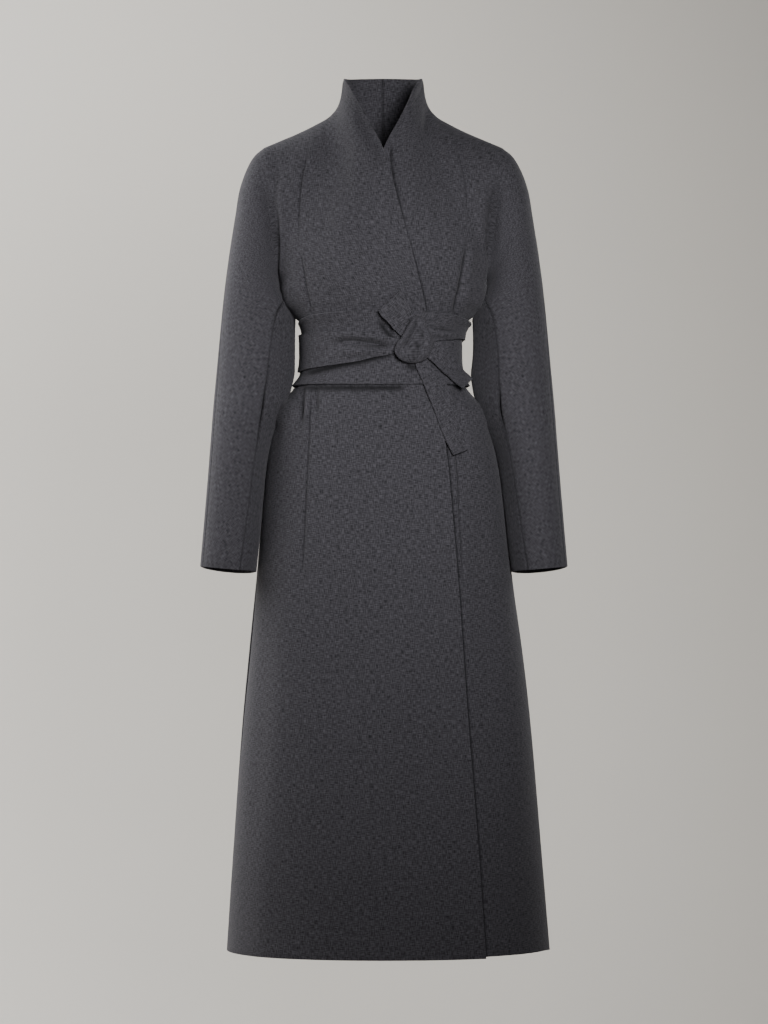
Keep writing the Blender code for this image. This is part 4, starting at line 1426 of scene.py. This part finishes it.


# The shade values here are painted shade in the bottoms of the darts and folds.
FRONT_RIGHT_FOLDS = (
    dart(DART_FRONT, Side.RIGHT, -0.045, -0.190, -0.0016, 0.0019, shade=0.50),
    dart(DART_FRONT, Side.RIGHT, -0.040, -0.190, 0.0012, 0.0080, beside=0.011),
    dart(DART_FRONT, Side.RIGHT, -0.200, -0.296, -0.0018, 0.0019, fade=0.2, shade=0.50),
    dart(DART_FRONT, Side.RIGHT, -0.200, -0.300, 0.0020, 0.0070, beside=0.009),
    dart(DART_FRONT, Side.RIGHT, -0.388, -0.675, -0.0015, 0.0019, fade=0.18, shade=0.55),
    dart(DART_FRONT, Side.RIGHT, -0.380, -0.560, 0.0015, 0.0090, beside=-0.012),
    Fold(((-0.150, -0.070), (-0.155, -0.131), (-0.152, -0.178)), -0.0030, 0.0055, shade=0.12),
    Fold(((-0.172, -0.085), (-0.165, -0.135), (-0.155, -0.186), (-0.147, -0.232)),
         -0.0085, 0.0115, fade=0.35, shade=0.20),
    Fold(((-0.056, 0.036), (-0.040, 0.004), (-0.024, -0.028), (-0.008, -0.064), (0.006, -0.095)),
         -0.0048, 0.0090, fade=0.3, shade=0.20),
    Fold(((-0.066, -0.030), (-0.052, -0.085), (-0.036, -0.160)), -0.0042, 0.0260, shade=0.06),
    Fold(((-0.1120, -0.380), (-0.1140, -0.415), (-0.1160, -0.470)), -0.0060, 0.0042, fade=0.5,
         shade=0.55),
    Fold(((-0.1040, -0.380), (-0.1045, -0.415), (-0.1070, -0.480)), 0.0044, 0.0046, fade=0.5),
    Fold(((-0.0930, -0.380), (-0.0920, -0.410), (-0.0910, -0.450)), -0.0050, 0.0040, fade=0.5,
         shade=0.5),
    Fold(((-0.1250, -0.400), (-0.1350, -0.440), (-0.1420, -0.520)), 0.0026, 0.0090, fade=0.45),
    Fold(((-0.060, -0.560), (-0.068, -0.760), (-0.072, -1.000)), -0.0022, 0.0330, fade=0.45),
    Fold(((-0.165, -0.620), (-0.176, -0.850), (-0.184, -1.120)), -0.0030, 0.0260, fade=0.45),
    Fold(((0.020, -0.640), (0.026, -0.850), (0.030, -1.080)), 0.0020, 0.0300, fade=0.45),
    # Painted shadow of the belt's lower edge on the skirt; it barely moves the cloth.
    Fold(((-0.116, -0.3970), (-0.060, -0.3975), (0.030, -0.3970)), -0.0004, 0.0070, fade=0.04,
         shade=0.85),
) + side_swell(Side.RIGHT, Face.FRONT)
# The shade values here are painted shade in the bottoms of the darts and folds.
FRONT_LEFT_FOLDS = (
    # Trough with painted shadow on the under front, along the top front's edge.
    dart(OVER_LINE, Side.LEFT, -0.050, -0.300, -0.0026, 0.0022, beside=0.0012, fade=0.04,
         shade=0.90),
    dart(OVER_LINE, Side.LEFT, -0.380, -1.210, -0.0030, 0.0030, beside=0.0034, fade=0.02,
         shade=0.90),
    dart(DART_FRONT, Side.LEFT, -0.035, -0.160, -0.0012, 0.0019, shade=0.30),
    dart(DART_FRONT, Side.LEFT, -0.190, -0.300, -0.0038, 0.0026, fade=0.2, shade=0.75),
    dart(DART_FRONT, Side.LEFT, -0.185, -0.305, 0.0032, 0.0060, beside=0.0100, fade=0.25),
    dart(DART_FRONT, Side.LEFT, -0.430, -0.700, -0.0013, 0.0019, fade=0.25, shade=0.45),
    Fold(((0.0615, 0.020), (0.0640, -0.012), (0.0600, -0.045)), -0.0036, 0.0060, fade=0.45,
         shade=0.2),
    Fold(((0.168, -0.080), (0.159, -0.128), (0.152, -0.180), (0.145, -0.232)),
         -0.0095, 0.0115, fade=0.35, shade=0.35),
    Fold(((0.188, -0.105), (0.179, -0.160), (0.172, -0.210)), -0.0030, 0.0100),
    Fold(((0.060, 0.030), (0.040, -0.006), (0.022, -0.040)), -0.0018, 0.0075, fade=0.4),
    Fold(((0.128, -0.480), (0.142, -0.640), (0.150, -0.860)), -0.0028, 0.0180, fade=0.4),
    Fold(((0.176, -0.640), (0.190, -0.860), (0.198, -1.120)), 0.0026, 0.0220, fade=0.45),
    Fold(((0.100, -0.380), (0.106, -0.430), (0.112, -0.520)), -0.0070, 0.0070, fade=0.5,
         shade=0.40),
) + side_swell(Side.LEFT, Face.FRONT)
# The shade values here are painted shade in the bottoms of the darts and folds.
BACK_FOLDS = {side: (
    dart(DART_BACK, side, -0.200, -0.298, -0.0016, 0.0019, Face.BACK, fade=0.2, shade=0.5),
    dart(DART_BACK, side, -0.388, -0.600, -0.0015, 0.0019, Face.BACK, fade=0.2, shade=0.5),
    dart(DART_BACK, side, -0.210, -0.300, 0.0016, 0.0080, Face.BACK, beside=0.010),
    Fold(((side.value * 0.168, -0.080), (side.value * 0.160, -0.130), (side.value * 0.150, -0.190),
          (side.value * 0.143, -0.236)), -0.0050, 0.0110, Face.BACK, 0.35, 0.2),
    Fold(((side.value * 0.090, -0.070), (side.value * 0.098, -0.130), (side.value * 0.104, -0.200)),
         -0.0016, 0.0160, Face.BACK, 0.4),
    Fold(((side.value * 0.070, -0.560), (side.value * 0.082, -0.780), (side.value * 0.090, -1.080)),
         -0.0034 + 0.0006 * side.value, 0.0240 + 0.002 * side.value, Face.BACK, 0.45),
    Fold(((side.value * 0.150, -0.500), (side.value * 0.166, -0.760), (side.value * 0.176, -1.100)),
         0.0028, 0.0240 - 0.002 * side.value, Face.BACK, 0.45),
) + side_swell(side, Face.BACK) for side in Side}
# Painted shadows on the belt: under the tie's lower edge, under the knot, beside the loop and beside the
# hanging tail. They barely move the cloth.
OBI_FOLDS = (
    Fold(((-0.112, -0.3760), (-0.060, -0.3640), (-0.020, -0.3560), (0.0190, -0.3440)),
         -0.0006, 0.0080, fade=0.1, shade=0.95),
    Fold(((0.0300, -0.3640), (0.0450, -0.3680), (0.0600, -0.3600)), -0.0004, 0.0070, fade=0.2,
         shade=0.80),
    Fold(((-0.0080, -0.3000), (0.0060, -0.3180), (0.0200, -0.3330)), -0.0004, 0.0060, fade=0.2,
         shade=0.80),
    Fold(((0.0620, -0.3660), (0.0780, -0.3850), (0.0900, -0.3990)), -0.0004, 0.0060, fade=0.2,
         shade=0.75),
)
# The shade values here are painted shade in the bottoms of the pleat creases.
TIE_FOLDS = (
    Fold(((-0.078, -0.3300), (-0.0445, -0.3316), (-0.010, -0.3362), (0.0210, -0.3376)),
         -0.0078, 0.0052, fade=0.35, shade=1.0),
    Fold(((-0.076, -0.3215), (-0.0445, -0.3200), (-0.0200, -0.3225), (0.0210, -0.3300)),
         0.0062, 0.0058, fade=0.35),
    Fold(((-0.070, -0.3440), (-0.040, -0.3440), (-0.010, -0.3420), (0.0200, -0.3410)),
         0.0062, 0.0060, fade=0.35),
    Fold(((0.0600, -0.3030), (0.0760, -0.3060), (0.1050, -0.3100)), 0.0034, 0.0100, fade=0.4),
    Fold(((0.0620, -0.3160), (0.0800, -0.3185), (0.1060, -0.3215)), 0.0044, 0.0042, fade=0.35),
    Fold(((0.0640, -0.3105), (0.0800, -0.3130), (0.1000, -0.3150)), -0.0028, 0.0030, fade=0.4,
         shade=0.5),
)
# The shade values here are painted shade in the bottoms of the knot's creases.
KNOT_FOLDS = (
    Fold(((0.0470, -0.2910), (0.0400, -0.3080), (0.0280, -0.3310), (0.0200, -0.3440)),
         0.0030, 0.0034, fade=0.12),
    Fold(((0.0510, -0.2960), (0.0460, -0.3100), (0.0345, -0.3310), (0.0270, -0.3450)),
         -0.0030, 0.0034, fade=0.2, shade=0.40),
    Fold(((0.0560, -0.3060), (0.0560, -0.3220), (0.0480, -0.3400), (0.0370, -0.3540)),
         -0.0026, 0.0042, fade=0.3, shade=0.30),
    Fold(((0.0620, -0.3160), (0.0640, -0.3280), (0.0600, -0.3430), (0.0500, -0.3550)),
         0.0022, 0.0050, fade=0.3),
)


def main() -> None:
    """Build every piece of the coat, then the studio."""
    logging.basicConfig(level=logging.INFO, format="%(name)s %(message)s")
    wool = WoolSuiting("wool_suiting").build()
    belt_wool = WoolSuiting("wool_suiting_belt").build()
    pieces = (
        CoatPanel("front_right", Side.RIGHT, Face.FRONT, (0.66, 1.32), 0.48, on_top=True,
                  folds=FRONT_RIGHT_FOLDS),
        CoatPanel("front_left", Side.LEFT, Face.FRONT, (0.66, 1.32), 0.48, hem_rise=0.003,
                  guides=(OVER_LINE, DART_FRONT), columns=(16, 32, 28), folds=FRONT_LEFT_FOLDS),
        CoatPanel("back_right", Side.RIGHT, Face.BACK, (0.62, 1.32), 0.40,
                  guides=(DART_BACK,), columns=(26, 26), folds=BACK_FOLDS[Side.RIGHT]),
        CoatPanel("back_left", Side.LEFT, Face.BACK, (0.62, 1.32), 0.40,
                  guides=(DART_BACK,), columns=(26, 26), folds=BACK_FOLDS[Side.LEFT]),
    )
    for panel in pieces:
        panel.build(wool)
    UnderSleeve("under_sleeve_right", Side.RIGHT).build(wool)
    UnderSleeve("under_sleeve_left", Side.LEFT).build(wool)
    Band("obi", OBI, 0.0013, (0.110, 0.72), 0.074, folds=OBI_FOLDS).build(belt_wool)
    Band("tie_band", TIE, 0.0055, (0.056, 0.75), 0.031, folds=TIE_FOLDS).build(belt_wool)
    Strap("knot_loop", LOOP, (0.037, 0.108), 0.0039).build(belt_wool)
    Strap("tail_side", TAIL_SIDE, (0.031, 0.110), 0.0034).build(belt_wool)
    Strap("tail_down", TAIL_DOWN, (0.031, 0.167), 0.0051).build(belt_wool)
    Knot("knot", KNOT, folds=KNOT_FOLDS).build(belt_wool)
    Studio().build()


if __name__ == "__main__":
    main()
